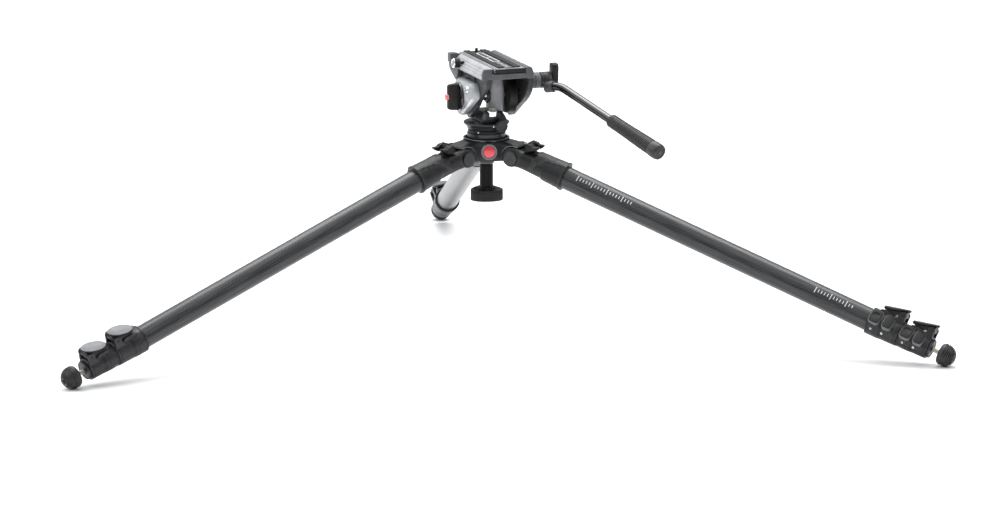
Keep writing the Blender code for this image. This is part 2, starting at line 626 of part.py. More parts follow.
def build_pan_bar(tilt, finishes):
    """The pan bar on its rosette: clamp, wing screw, bent bar and grip."""
    y, z = ROSETTE
    hinge = guide("pan_bar_hinge", tilt, (0, y, z - TILT_HEIGHT))
    offset = (0, -y, -z)
    start, bend, end = Vector(BAR_START), Vector(BAR_BEND), Vector(BAR_END)
    inward = (bend - start).normalized()
    outward = (end - bend).normalized()
    drum = turned([(69.4, 12), (86, 12)], 20, "X", centre=ROSETTE)
    clamp = piece("pan_bar_clamp", drum, finishes["painted"], hinge, offset)
    join(clamp, aimed(turned([(0, 8.6), (14, 8.6)], 16, "X"), start, inward))
    cut(clamp, aimed(turned([(2, BAR_RADIUS + GAP), (30, BAR_RADIUS + GAP)], 16, "X"), start, inward))
    cut(clamp, turned([(60, 3.2), (90, 3.2)], 10, "X", centre=ROSETTE))
    points = bar_points()
    piece("pan_bar", sweep(points, BAR_RADIUS, 14), finishes["gloss"], hinge, offset)

    tail = end - outward * GRIP_LENGTH
    bore = BAR_RADIUS + GAP
    grip = [
        (GRIP_LENGTH - 3, 0), (GRIP_LENGTH - 3, bore), (0, bore), (0, 9.4), (3, 10.2), (60, 10.8),
        (96, 12), (108, 12), (GRIP_LENGTH, 10.4),
    ]
    shape = aimed(turned(grip, 20, "X"), tail, outward)
    piece("pan_bar_grip", shape, finishes["rubber"], hinge, offset)

    stem = turned([(64, 2.8), (88, 2.8)], 10, "X", centre=ROSETTE)
    screw = piece("pan_bar_wing_screw", stem, finishes["plastic"], hinge, offset)
    join(screw, turned([(87, 7), (97, 7)], 16, "X", centre=ROSETTE))
    tab = [(y - 7, z), (y + 7, z), (y + 8.5, z + 20), (y + 6, z + 24), (y - 6, z + 24), (y - 8.5, z + 20)]
    join(screw, prism(tab, 88, 96.5, "X"))


def build_all():
    """The whole tripod."""
    clear_scene()
    finishes = {
        "cast": finish("black_casting", (0.022, 0.023, 0.025), 0.45, 0.3),
        "carbon": finish("carbon_tube", (0.05, 0.052, 0.056), 0.35, 0.2),
        "plastic": finish("black_plastic", (0.015, 0.015, 0.016), 0.5, 0.0),
        "painted": finish("dark_grey_paint", (0.075, 0.078, 0.083), 0.5, 0.2),
        "grey": finish("satin_grey", (0.32, 0.33, 0.35), 0.4, 0.4),
        "lever": finish("lever_grey", (0.45, 0.46, 0.48), 0.35, 0.4),
        "gloss": finish("gloss_black", (0.01, 0.01, 0.011), 0.12, 0.0),
        "alloy": finish("dark_alloy", (0.12, 0.12, 0.125), 0.35, 0.8),
        "dark_steel": finish("dark_steel", (0.06, 0.06, 0.065), 0.4, 0.7),
        "steel": finish("steel", (0.55, 0.53, 0.48), 0.28, 1.0),
        "rubber": finish("rubber", (0.012, 0.012, 0.013), 0.75, 0.0),
        "white": finish("white_plastic", (0.8, 0.8, 0.8), 0.4, 0.0),
    }
    hub = guide("hub_axis", None, (0, HUB_Y, 0))
    build_spider(hub, finishes["cast"])
    build_levelling(hub, finishes)
    for name, azimuth in LEG_AZIMUTHS.items():
        build_leg(hub, name, azimuth, finishes)
    head = guide("pan_axis", hub, turn=(0, 0, HEAD_YAW))
    build_pan(head, finishes)
    tilt = guide("tilt_axis", head, (0, 0, TILT_HEIGHT))
    build_tilt_frame(tilt, finishes)
    build_tilt_controls(tilt, finishes)
    build_plate(tilt, finishes)
    build_pan_bar(tilt, finishes)


build_all()
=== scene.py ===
"""The looks of a low-standing video tripod: meshes, materials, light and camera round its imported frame.

Shapes are given in millimetres in one of three frames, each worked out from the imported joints:
hub (z axis up the hub's axis from the floor), head (x across to the right, y to the front, turned
with the pan) and leg (x from the pivot down to the foot, y across, z away from the floor).
"""
import json
from math import atan2, cos, exp, pi, radians, sin, sqrt, tan
from math import degrees as in_degrees

import bmesh
import bpy
from mathutils import Matrix, Vector


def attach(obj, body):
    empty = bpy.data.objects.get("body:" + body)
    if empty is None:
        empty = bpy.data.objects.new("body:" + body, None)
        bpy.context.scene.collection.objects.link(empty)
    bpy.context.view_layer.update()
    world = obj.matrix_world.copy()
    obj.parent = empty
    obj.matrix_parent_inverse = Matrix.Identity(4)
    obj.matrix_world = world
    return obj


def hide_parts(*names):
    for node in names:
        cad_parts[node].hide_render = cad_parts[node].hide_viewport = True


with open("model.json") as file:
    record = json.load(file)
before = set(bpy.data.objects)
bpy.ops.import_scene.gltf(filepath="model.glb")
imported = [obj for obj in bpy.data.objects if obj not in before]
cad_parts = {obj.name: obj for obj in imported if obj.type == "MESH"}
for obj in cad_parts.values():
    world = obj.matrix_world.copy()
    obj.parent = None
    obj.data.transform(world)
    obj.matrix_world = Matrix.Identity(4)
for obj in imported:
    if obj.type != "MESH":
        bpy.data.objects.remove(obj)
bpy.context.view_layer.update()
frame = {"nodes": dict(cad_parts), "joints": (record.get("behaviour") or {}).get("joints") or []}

MM = 0.001
JOINTS = {joint["name"]: joint for joint in frame["joints"]}
LEGS = ("leg_left", "leg_right", "leg_rear")

# sizes shared with the CAD, in millimetres
TUBES = {"upper": (17, 42.3, 608), "middle": (14.5, 92, 657), "lower": (12, 100, 685)}
UPPER_LOCK = (589, 638.6)
LOWER_LOCK = (639.2, 685.6)
LEAF_BACK = 13
LEAF_HALF = (20.5, 13)
END_PLATE = 686
TUBE_WALL = 1.5
LEG_AZIMUTHS = (90, 210, 330)
CASTING_END = 82.7
PIVOT = (50, 255.2)
BALL_CENTRE = 284
TILT_HEIGHT = 342
TILT_LINE = (0, TILT_HEIGHT)
SEAT_LOW, SEAT_FLOOR, SEAT_TOP = 378, 386, 393
PLATE_CENTRE = (11, 6.5)
PLATE_HALF = (24, 79)
ROSETTE = (-38, 366)
LEVER_TURN = 15


# ---------------------------------------------------------------- frames

def axes(origin, x, y):
    """A matrix from a frame's millimetres to the world."""
    x = Vector(x).normalized()
    z = x.cross(Vector(y)).normalized()
    turn = Matrix((x, z.cross(x), z)).transposed().to_4x4()
    return Matrix.Translation(origin) @ turn @ Matrix.Scale(MM, 4)


hub_point = Vector(JOINTS["pan_turn"]["pos_m"])
hub_point.z = 0
HUB = axes(hub_point, (1, 0, 0), (0, 1, 0))
head_x = Vector(JOINTS["tilt_turn"]["axis"])
HEAD = axes(hub_point, head_x, Vector((0, 0, 1)).cross(head_x))


def leg_frame(leg):
    along = JOINTS[f"{leg}_middle_slide"]["axis"]
    across = JOINTS[f"{leg}_catch_press"]["axis"]
    return axes(Vector(JOINTS[f"{leg}_spread"]["pos_m"]), along, across)


def turned_about_x(place, degrees):
    return place @ Matrix.Rotation(radians(degrees), 4, "X")


def turned_about_z(place, degrees):
    return place @ Matrix.Rotation(radians(degrees), 4, "Z")


# ---------------------------------------------------------------- shapes

def spot(across, up, along, axis):
    if axis == "X":
        return Vector((along, across, up))
    if axis == "Y":
        return Vector((across, along, up))
    return Vector((across, up, along))


def skin(shape, rings, closed=False):
    """Faces between rings of vertices; a ring of one vertex is a pole, and open ends are capped."""
    pairs = list(zip(rings, rings[1:]))
    if closed:
        pairs.append((rings[-1], rings[0]))
    for low, high in pairs:
        sides = max(len(low), len(high))
        for i in range(sides):
            j = (i + 1) % sides
            corners = [low[i % len(low)], low[j % len(low)], high[j % len(high)], high[i % len(high)]]
            corners = list(dict.fromkeys(corners))
            if len(corners) > 2:
                shape.faces.new(corners)
    if not closed:
        for ring in (rings[0], rings[-1]):
            if len(ring) > 2:
                shape.faces.new(ring)


def lathe(profile, sides=64, axis="Z", loop=False, centre=(0, 0), wave=None):
    """A profile of (along, radius) points spun round an axis; wave may change a radius with the angle."""
    shape = bmesh.new()
    rings = []
    for along, radius in profile:
        ring = []
        for i in range(sides if radius else 1):
            angle = 2 * pi * i / sides
            reach = radius + (wave(along, radius, angle) if wave else 0)
            across = centre[0] + reach * cos(angle)
            up = centre[1] + reach * sin(angle)
            ring.append(shape.verts.new(spot(across, up, along, axis)))
        rings.append(ring)
    skin(shape, rings, loop)
    return shape


def rod(low, high, radius, sides, axis="Z", centre=(0, 0)):
    return lathe([(low, radius), (high, radius)], sides, axis, centre=centre)


def prism(outline, low, high, axis="Z"):
    """A flat outline pushed out along an axis."""
    shape = bmesh.new()
    rings = [[shape.verts.new(spot(u, v, along, axis)) for u, v in outline] for along in (low, high)]
    skin(shape, rings)
    return shape


def box_outline(low_u, low_v, high_u, high_v):
    return [(low_u, low_v), (high_u, low_v), (high_u, high_v), (low_u, high_v)]


def block(low, high):
    return prism(box_outline(low[0], low[1], high[0], high[1]), low[2], high[2])


def loft(sections, closed=False):
    """A solid through sections of as many points each."""
    shape = bmesh.new()
    rings = [[shape.verts.new(point) for point in section] for section in sections]
    skin(shape, rings, closed)
    return shape


def arc(centre, radius, start, end, steps):
    angles = [radians(start + (end - start) * i / steps) for i in range(steps + 1)]
    return [(centre[0] + radius * cos(a), centre[1] + radius * sin(a)) for a in angles]


def rounded(outline, radius, steps=4):
    """An outline with its corners rounded off."""
    points = []
    count = len(outline)
    for i, corner in enumerate(outline):
        here = Vector(corner)
        before, after = Vector(outline[i - 1]), Vector(outline[(i + 1) % count])
        reach = min(radius, 0.45 * (before - here).length, 0.45 * (after - here).length)
        first = here + (before - here).normalized() * reach
        last = here + (after - here).normalized() * reach
        for k in range(steps + 1):
            t = k / steps
            points.append(tuple(first * (1 - t) ** 2 + here * 2 * t * (1 - t) + last * t * t))
    return points


def sweep(points, radius, sides=32, flat=1):
    """A bar of round or flattened section along a line of points."""
    sections = []
    for i, point in enumerate(points):
        before, after = Vector(points[max(i - 1, 0)]), Vector(points[min(i + 1, len(points) - 1)])
        along = (after - before).normalized()
        side = along.cross(Vector((0, 0, 1))).normalized()
        up = side.cross(along)
        ring = []
        for k in range(sides):
            angle = 2 * pi * k / sides
            ring.append(Vector(point) + side * radius * cos(angle) + up * radius * flat * sin(angle))
        sections.append(ring)
    return loft(sections)


def bezier(first, bend, last, steps):
    curve = []
    for i in range(steps + 1):
        t = i / steps
        curve.append(Vector(first) * (1 - t) ** 2 + Vector(bend) * 2 * t * (1 - t) + Vector(last) * t * t)
    return curve


def aimed(shape, origin, direction):
    """Move a shape made along X so that it starts at a point and runs in a direction."""
    turn = Vector((1, 0, 0)).rotation_difference(Vector(direction)).to_matrix().to_4x4()
    bmesh.ops.transform(shape, matrix=Matrix.Translation(Vector(origin)) @ turn, verts=shape.verts)
    return shape


def merged(*shapes):
    """Several shapes as one bmesh."""
    whole = shapes[0]
    for shape in shapes[1:]:
        copy = {vert: whole.verts.new(vert.co) for vert in shape.verts}
        for face in shape.faces:
            whole.faces.new([copy[vert] for vert in face.verts])
        shape.free()
    return whole


# ---------------------------------------------------------------- pieces

def linked(name, data):
    """A new object in the scene."""
    made = bpy.data.objects.new(name, data)
    bpy.context.collection.objects.link(made)
    return made


def solid(name, shape, place):
    """A mesh object from a bmesh in a frame's millimetres."""
    bmesh.ops.recalc_face_normals(shape, faces=shape.faces)
    mesh = bpy.data.meshes.new(name)
    shape.to_mesh(mesh)
    shape.free()
    mesh.transform(place)
    return linked(name, mesh)


def baked(made):
    """Turn an object's modifiers into its mesh."""
    graph = bpy.context.evaluated_depsgraph_get()
    mesh = bpy.data.meshes.new_from_object(made.evaluated_get(graph))
    made.modifiers.clear()
    made.data = mesh


def add(name, shape, place, body, material, replaces=(), bevel=0, cuts=(), joins=(), sharp=38):
    """One visible piece: shaped, bevelled, painted and riding on its body."""
    made = solid(name, shape, place)
    tools = [("UNION", tool) for tool in joins] + [("DIFFERENCE", tool) for tool in cuts]
    tool_objects = []
    for operation, tool in tools:
        tool_object = solid(f"{name}_tool", tool, place)
        tool_objects.append(tool_object)
        boolean = made.modifiers.new(operation, "BOOLEAN")
        boolean.operation = operation
        boolean.object = tool_object
    if bevel:
        edge = made.modifiers.new("Edges", "BEVEL")
        edge.width = bevel * MM
        edge.segments = 3
        edge.limit_method = "ANGLE"
        edge.angle_limit = radians(sharp)
        edge.use_clamp_overlap = True
    if made.modifiers:
        baked(made)
    for tool_object in tool_objects:
        bpy.data.objects.remove(tool_object)
    made.data.materials.clear()
    made.data.materials.append(material)
    made.data.shade_smooth()
    made.data.set_sharp_from_angle(angle=radians(sharp))
    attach(made, body)
    if replaces:
        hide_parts(*replaces)
    return made


# ---------------------------------------------------------------- materials

class Paint:
    """A small helper that builds one node material."""

    def __init__(self, name, colour, roughness, metallic=0, coat=0, coat_roughness=0.1, specular=0.5):
        self.material = bpy.data.materials.new(name)
        self.material.use_nodes = True
        self.tree = self.material.node_tree
        self.shader = self.tree.nodes["Principled BSDF"]
        self.colour = colour
        self.set(self.shader, "Base Color", (*colour, 1))
        self.set(self.shader, "Roughness", roughness)
        self.set(self.shader, "Metallic", metallic)
        self.set(self.shader, "Coat Weight", coat)
        self.set(self.shader, "Coat Roughness", coat_roughness)
        self.set(self.shader, "Specular IOR Level", specular)
        self.height = None

    def set(self, node, socket, value):
        node.inputs[socket].default_value = value

    def node(self, kind, **values):
        made = self.tree.nodes.new(kind)
        for key, value in values.items():
            setattr(made, key, value)
        return made

    def link(self, source, target, socket):
        self.tree.links.new(source, target.inputs[socket])

    def coordinates(self, stretch=(1, 1, 1), uv=False):
        """Places in the mesh's own space, in millimetres, stretched per axis."""
        source = self.node("ShaderNodeTexCoord")
        scale = self.node("ShaderNodeMapping")
        unit = 1 if uv else 1 / MM
        self.set(scale, "Scale", [unit * s for s in stretch])
        self.link(source.outputs["UV" if uv else "Object"], scale, "Vector")
        return scale.outputs["Vector"]

    def noise(self, size, detail=3, stretch=(1, 1, 1), uv=False):
        """Cloudy noise with features of about a size in millimetres."""
        cloud = self.node("ShaderNodeTexNoise")
        self.set(cloud, "Scale", 1 / size)
        self.set(cloud, "Detail", detail)
        self.link(self.coordinates(stretch, uv), cloud, "Vector")
        return cloud.outputs["Fac"]

    def spread(self, value, low, high, from_low=0.3, from_high=0.7):
        """A value remapped to a range."""
        ramp = self.node("ShaderNodeMapRange")
        for socket, number in zip(("From Min", "From Max", "To Min", "To Max"),
                (from_low, from_high, low, high)):
            self.set(ramp, socket, number)
        self.link(value, ramp, "Value")
        return ramp.outputs["Result"]

    def blend(self, factor, low, high):
        """A mix of two colours, each a triple or a socket."""
        mix = self.node("ShaderNodeMix", data_type="RGBA")
        for socket, colour in ((6, low), (7, high)):
            if isinstance(colour, tuple):
                mix.inputs[socket].default_value = (*colour, 1)
            else:
                self.tree.links.new(colour, mix.inputs[socket])
        self.tree.links.new(factor, mix.inputs[0])
        return mix.outputs[2]

    def vary_colour(self, size, amount, stretch=(1, 1, 1)):
        """Make the colour a little lighter and darker in clouds."""
        factor = self.spread(self.noise(size, 4, stretch), 0, 1)
        dark = tuple(c * (1 - amount) for c in self.colour)
        light = tuple(min(1, c * (1 + amount)) for c in self.colour)
        self.mixed = self.blend(factor, dark, light)
        self.link(self.mixed, self.shader, "Base Color")

    def edge_wear_and_highlight(self, colour, amount=0.5):
        """Lighter edges where the surface is sharpest: partly rubbed wear, partly a painted highlight."""
        geometry = self.node("ShaderNodeNewGeometry")
        edge = self.spread(geometry.outputs["Pointiness"], 0, amount, 0.53, 0.62)
        patchy = self.node("ShaderNodeMath", operation="MULTIPLY")
        self.link(edge, patchy, 0)
        self.link(self.spread(self.noise(3, 5), 0.2, 1), patchy, 1)
        self.mixed = self.blend(patchy.outputs[0], self.mixed, colour)
        self.link(self.mixed, self.shader, "Base Color")

    def vary_roughness(self, low, high, size, stretch=(1, 1, 1)):
        self.link(self.spread(self.noise(size, 4, stretch), low, high), self.shader, "Roughness")

    def bump(self, height, strength, depth=0.05):
        """Bump from a height, on top of any bump already there."""
        made = self.node("ShaderNodeBump")
        self.set(made, "Strength", strength)
        self.set(made, "Distance", depth * MM)
        self.link(height, made, "Height")
        if self.height:
            self.link(self.height, made, "Normal")
        self.height = made.outputs["Normal"]
        self.link(self.height, self.shader, "Normal")


def coarse_casting(name, colour, roughness, grain=0.45, strength=0.35, edge=(0.12, 0.12, 0.125)):
    """Painted or powder-coated metal: fine grain, slow clouds and lighter edges, partly rubbed wear and
    partly painted highlight.
    """
    paint = Paint(name, colour, roughness, 0, specular=0.32)
    paint.vary_colour(14, 0.18)
    paint.edge_wear_and_highlight(edge, 0.4)
    paint.vary_roughness(roughness - 0.06, roughness + 0.09, 9)
    paint.bump(paint.noise(grain, 2), strength, 0.04)
    paint.bump(paint.noise(6, 2), 0.12, 0.12)
    return paint.material


def moulded(name, colour, roughness, grain=0.6, strength=0.3):
    """Moulded plastic with a fine spark-eroded texture."""
    paint = Paint(name, colour, roughness, specular=0.32)
    paint.vary_colour(20, 0.12)
    paint.edge_wear_and_highlight(tuple(min(1, c * 2.2 + 0.02) for c in colour), 0.4)
    paint.vary_roughness(roughness - 0.05, roughness + 0.08, 12)
    cells = paint.node("ShaderNodeTexVoronoi")
    paint.set(cells, "Scale", 1 / grain)
    paint.link(paint.coordinates(), cells, "Vector")
    paint.bump(cells.outputs["Distance"], strength, 0.03)
    return paint.material


def metal(name, colour, roughness, stretch=(1, 1, 1), scratch=0.25):
    """Bare or plated metal with fine machining lines."""
    paint = Paint(name, colour, roughness, 1)
    paint.vary_colour(8, 0.08)
    paint.vary_roughness(roughness - 0.05, roughness + 0.08, 1.6, stretch)
    paint.bump(paint.noise(0.35, 2, stretch), scratch, 0.02)
    return paint.material


def rubber_finish(name):
    paint = Paint(name, (0.008, 0.008, 0.009), 0.5, specular=0.45)
    paint.vary_colour(9, 0.25)
    # The light edge colour is mostly a painted highlight on the crests of the ribs, with some rubbed wear.
    paint.edge_wear_and_highlight((0.14, 0.14, 0.143), 0.8)
    paint.vary_roughness(0.36, 0.52, 5)
    paint.bump(paint.noise(0.5, 3), 0.5, 0.05)
    return paint.material


def carbon_finish():
    """Twill carbon cloth under satin resin. Its mesh has a UV map in millimetres: along and around."""
    paint = Paint("carbon_twill", (0.02, 0.021, 0.023), 0.34, coat=0.25, coat_roughness=0.2, specular=0.3)
    tow = 1.6
    split = paint.node("ShaderNodeSeparateXYZ")
    paint.link(paint.coordinates((1 / tow, 1 / tow, 1), uv=True), split, "Vector")
    floors = []
    for axis in ("X", "Y"):
        floor = paint.node("ShaderNodeMath", operation="FLOOR")
        paint.link(split.outputs[axis], floor, 0)
        floors.append(floor.outputs[0])
    total = paint.node("ShaderNodeMath", operation="ADD")
    paint.link(floors[0], total, 0)
    paint.link(floors[1], total, 1)
    cycle = paint.node("ShaderNodeMath", operation="FLOORED_MODULO")
    paint.link(total.outputs[0], cycle, 0)
    paint.set(cycle, 1, 4)
    over = paint.node("ShaderNodeMath", operation="LESS_THAN")
    paint.link(cycle.outputs[0], over, 0)
    paint.set(over, 1, 2)
    weave = paint.blend(over.outputs[0], (0.008, 0.0085, 0.0095), (0.018, 0.019, 0.021))
    streaks = paint.spread(paint.noise(1, 4, (0.02, 0.5, 1), uv=True), 0, 1, 0.35, 0.7)
    paint.mixed = paint.blend(streaks, weave, (0.045, 0.046, 0.049))
    paint.link(paint.mixed, paint.shader, "Base Color")
    paint.link(paint.spread(over.outputs[0], 0.3, 0.4, 0, 1), paint.shader, "Roughness")
    paint.bump(over.outputs[0], 0.08, 0.02)
    paint.bump(paint.noise(1, 2, (0.05, 0.4, 1), uv=True), 0.25, 0.05)
    return paint.material


def enamel(name, colour):
    """Glossy enamel with a faint orange peel."""
    paint = Paint(name, colour, 0.22, coat=0.8, coat_roughness=0.05)
    paint.vary_colour(4, 0.1)
    paint.bump(paint.noise(1.5, 1), 0.08, 0.03)
    return paint.material


def gloss_finish():
    """The pan bar's smooth black lacquer."""
    paint = Paint("gloss_black_tube", (0.009, 0.009, 0.01), 0.14, coat=0.6, coat_roughness=0.05)
    paint.vary_colour(30, 0.2)
    paint.vary_roughness(0.1, 0.2, 7)
    paint.bump(paint.noise(4, 3), 0.05, 0.05)
    return paint.material


def spirit_finish():
    """The bubble level's tinted liquid under clear plastic."""
    paint = Paint("level_liquid", (0.40, 0.47, 0.30), 0.08, coat=1, coat_roughness=0.03)
    paint.vary_colour(5, 0.2)
    return paint.material


CAST = coarse_casting("black_casting", (0.007, 0.0073, 0.008), 0.4, edge=(0.06, 0.06, 0.063))
# A light grey for rims and beads, painted on as a highlight where light catches their edges.
HIGHLIGHT_EDGE = coarse_casting("painted_highlight_edge", (0.12, 0.122, 0.127), 0.3, edge=(0.4, 0.4, 0.41))
PLASTIC = moulded("black_moulding", (0.005, 0.005, 0.0055), 0.42)
CARBON = carbon_finish()
LEVER = moulded("lever_satin_grey", (0.13, 0.134, 0.14), 0.3, 0.5, 0.12)
DARK_STEEL = metal("blackened_steel", (0.06, 0.061, 0.065), 0.4, (1, 1, 1), 0.3)
STEEL = metal("plated_steel", (0.58, 0.55, 0.49), 0.26, (0.3, 2, 2))
CHROME = metal("bright_trim", (0.78, 0.79, 0.80), 0.16, (1, 1, 1), 0.1)
RUBBER = rubber_finish("black_rubber")
DARK_ALLOY = metal("dark_anodised_alloy", (0.09, 0.092, 0.097), 0.33, (1, 1, 3), 0.3)
PAINT_DARK = coarse_casting("dark_grey_paint", (0.02, 0.021, 0.023), 0.4, 0.5, 0.25, (0.2, 0.2, 0.21))
PAINT_MID = coarse_casting("mid_grey_paint", (0.075, 0.077, 0.081), 0.38, 0.5, 0.22, (0.4, 0.4, 0.42))
PAINT_PALE = coarse_casting("pale_grey_paint", (0.62, 0.63, 0.645), 0.3, 0.5, 0.15, (0.8, 0.8, 0.82))
PAINT_LIGHT = coarse_casting("light_grey_paint", (0.32, 0.325, 0.338), 0.34, 0.5, 0.2, (0.7, 0.7, 0.72))
SATIN = coarse_casting("satin_silver_cover", (0.36, 0.37, 0.385), 0.36, 0.4, 0.2, (0.62, 0.62, 0.64))
GLOSS = gloss_finish()
WHITE = moulded("white_moulding", (0.78, 0.78, 0.77), 0.35, 0.5, 0.1)
RED = enamel("red_enamel", (0.62, 0.028, 0.045))
PALE_RED = enamel("pale_red_cap", (0.72, 0.16, 0.17))
MARK = moulded("pale_print", (0.55, 0.56, 0.57), 0.5, 0.4, 0.1)
LIQUID = spirit_finish()


# ---------------------------------------------------------------- legs

def smooth_step(value):
    value = min(1, max(0, value))
    return value * value * (3 - 2 * value)


def casting_reach(x, angle):
    """The casting's radius at a place along the leg and an angle from its top."""
    low, high, square = 0, 1, 1
    stations = ((2, 24.2, 12.6, 5), (14, 23.8, 13.6, 4), (24, 22, 15.2, 3), (34, 19.8, 17.2, 2.4),
            (46, 19, 18.4, 2.05), (CASTING_END, 19.9, 19.9, 2))
    for before, after in zip(stations, stations[1:]):
        if before[0] <= x <= after[0]:
            t = smooth_step((x - before[0]) / (after[0] - before[0]))
            low, high, square = (a + (b - a) * t for a, b in zip(before[1:], after[1:]))
            break
    across, up = abs(sin(angle)), abs(cos(angle))
    reach = ((across / low) ** square + (up / high) ** square) ** (-1 / square)
    away = abs(in_degrees(angle))
    edge = 34 + 150 * exp(-max(0, x - 22) / 13)
    strap = 2.2 * smooth_step((edge - away) / 2.4) * smooth_step((x - 27) / 8)
    under = -1.5 * smooth_step((away - 96) / 20) * smooth_step((49.5 - x) / 1.6) * smooth_step((x - 8) / 8)
    grooves = 0
    if x > 30:
        for line in (9, 19):
            grooves -= 0.45 * smooth_step(1 - abs(away - line) / 2.2)
    return reach + strap + under + grooves


def build_casting(leg, place):
    """The top casting: cheeks round the hub's lug, a strap with fine grooves and the tube's socket."""
    fine = [3 * i for i in range(-12, 13)]
    coarse = [39 + 6 * i for i in range(24)]
    around = sorted(fine + coarse + [-degree for degree in coarse])
    lip_start = 79.61
    stations = [2 + 1.6 * i for i in range(49)] + [79.6, lip_start]
    sections = []
    for x in stations:
        lip = 0.9 if x == lip_start else 0
        row = []
        for degree in around:
            angle = radians(degree)
            reach = casting_reach(x, angle) + lip
            row.append(Vector((x, reach * sin(angle), reach * cos(angle))))
        sections.append(row)
    last = [(point.y, point.z) for point in sections[-1]]
    sections.append([Vector((82.2, y, z)) for y, z in last])
    sections.append([Vector((CASTING_END, y * 0.98, z * 0.98)) for y, z in last])
    lug_room = block((-20, -12.3, -22), (12.5, 12.3, 22))
    socket = rod(42, 90, 17.3, 64, "X")
    barrel = lathe([(-24.3, 12.8), (-23.3, 14), (23.3, 14), (24.3, 12.8)], 64, "Y")
    pin_room = rod(-40, 40, 6.3, 32, "Y")
    add(f"{leg}_casting_shell", loft(sections), place, leg, CAST, [f"{leg}_casting"], bevel=0.35,
            joins=[barrel], cuts=[lug_room, socket, pin_room])
    seal = [(82, 17.05), (82, 18.2), (83.1, 18), (83.4, 17.4), (83.4, 17.05)]
    add(f"{leg}_socket_seal", lathe(seal, 64, "X", loop=True), place, leg, PLASTIC)


def build_catch(leg, place):
    """The rocking catch: a saddle with two upswept pointed ears and a cleft between them."""
    outline = [(11.3, 15), (18.3, 15.6), (25, 18.8), (30.5, 22.4), (32.5, 25.8), (31.4, 28.4), (27.6, 26.8),
            (24, 25.8), (21.7, 27.2), (17.3, 27.8), (12.8, 27), (11, 23)]
    sections = []
    for y, grow in ((-17, 0.7), (-15.6, 0.9), (-11, 1), (11, 1), (15.6, 0.9), (17, 0.7)):
        row = []
        for x, z in rounded(outline, 2.6, 3):
            row.append(Vector((20 + (x - 20) * grow, y, 22 + (z - 22) * grow)))
        sections.append(row)
    hinge_room = block((7, -4.4, 8), (22, 4.4, 24))
    cleft = prism([(17, 27.9), (24, 20), (48, 16), (48, 42), (17, 42)], -6.4, 6.4, "Y")
    ridge = rod(-9.5, 9.5, 1.5, 24, "Y", (14.5, 27.6))
    add(f"{leg}_catch_saddle", loft(sections), place, f"{leg}_catch", PLASTIC,
            [f"{leg}_angle_catch"], bevel=0.5, joins=[ridge], cuts=[hinge_room, cleft])


def build_pin(leg, place):
    """The pivot pin with slightly dished round caps."""
    cap = [(24.6, 6.2), (24.6, 9.6), (25, 10.1), (27.2, 10.2), (27.8, 9.7), (28, 9), (27.8, 6.4), (27.7, 0)]
    profile = [(-y, r) for y, r in reversed(cap)] + [(-24.6, 6), (24.6, 6)] + cap[1:]
    add(f"{leg}_pin_caps", lathe(profile, 64, "Y"), place, "hub", DARK_STEEL,
            [f"{leg}_pivot_pin"])


def build_tubes(leg, place):
    """Three carbon tubes, each with a UV map in millimetres for its cloth."""
    bodies = {"upper": leg, "middle": f"{leg}_middle", "lower": f"{leg}_lower"}
    sides = 64
    for part, (radius, low, high) in TUBES.items():
        inner = radius - TUBE_WALL
        profile = [(low, radius - 0.3), (low + 0.3, radius)]
        profile += [(low + (high - low) * i / 24, radius) for i in range(1, 24)]
        profile += [(high - 0.3, radius), (high, radius - 0.3), (high, inner), (low, inner)]
        shape = lathe(profile, sides, "X", loop=True)
        layer = shape.loops.layers.uv.new("cloth")
        for face in shape.faces:
            turns = [atan2(loop.vert.co.z, loop.vert.co.y) / (2 * pi) for loop in face.loops]
            if max(turns) - min(turns) > 0.5:
                turns = [turn + 1 if turn < 0 else turn for turn in turns]
            for loop, turn in zip(face.loops, turns):
                loop[layer].uv = (loop.vert.co.x, turn * 2 * pi * radius)
        add(f"{leg}_{part}_cloth", shape, place, bodies[part], CARBON, [f"{leg}_{part}_tube"])


def build_ticks(leg, place):
    """Two short height scales on the upper tube: plain marks, every fifth one longer."""
    radius = TUBES["upper"][0]
    strips = []
    for start, count, middle in ((104, 19, 48), (500, 13, 48)):
        for i in range(count):
            half = 16 if i % 5 == 0 else 8
            low, high = start + 5 * i, start + 5 * i + 1.1
            outer = arc((0, 0), radius + 0.12, 90 + middle - half, 90 + middle + half, 8)
            inner = arc((0, 0), radius + 0.01, 90 + middle + half, 90 + middle - half, 8)
            strips.append(prism(outer + inner, low, high, "X"))
    add(f"{leg}_scale_marks", merged(*strips), place, leg, MARK)


def oval(half_long, half_wide, steps=40):
    return [(half_long * cos(2 * pi * i / steps), half_wide * sin(2 * pi * i / steps))
            for i in range(steps)]


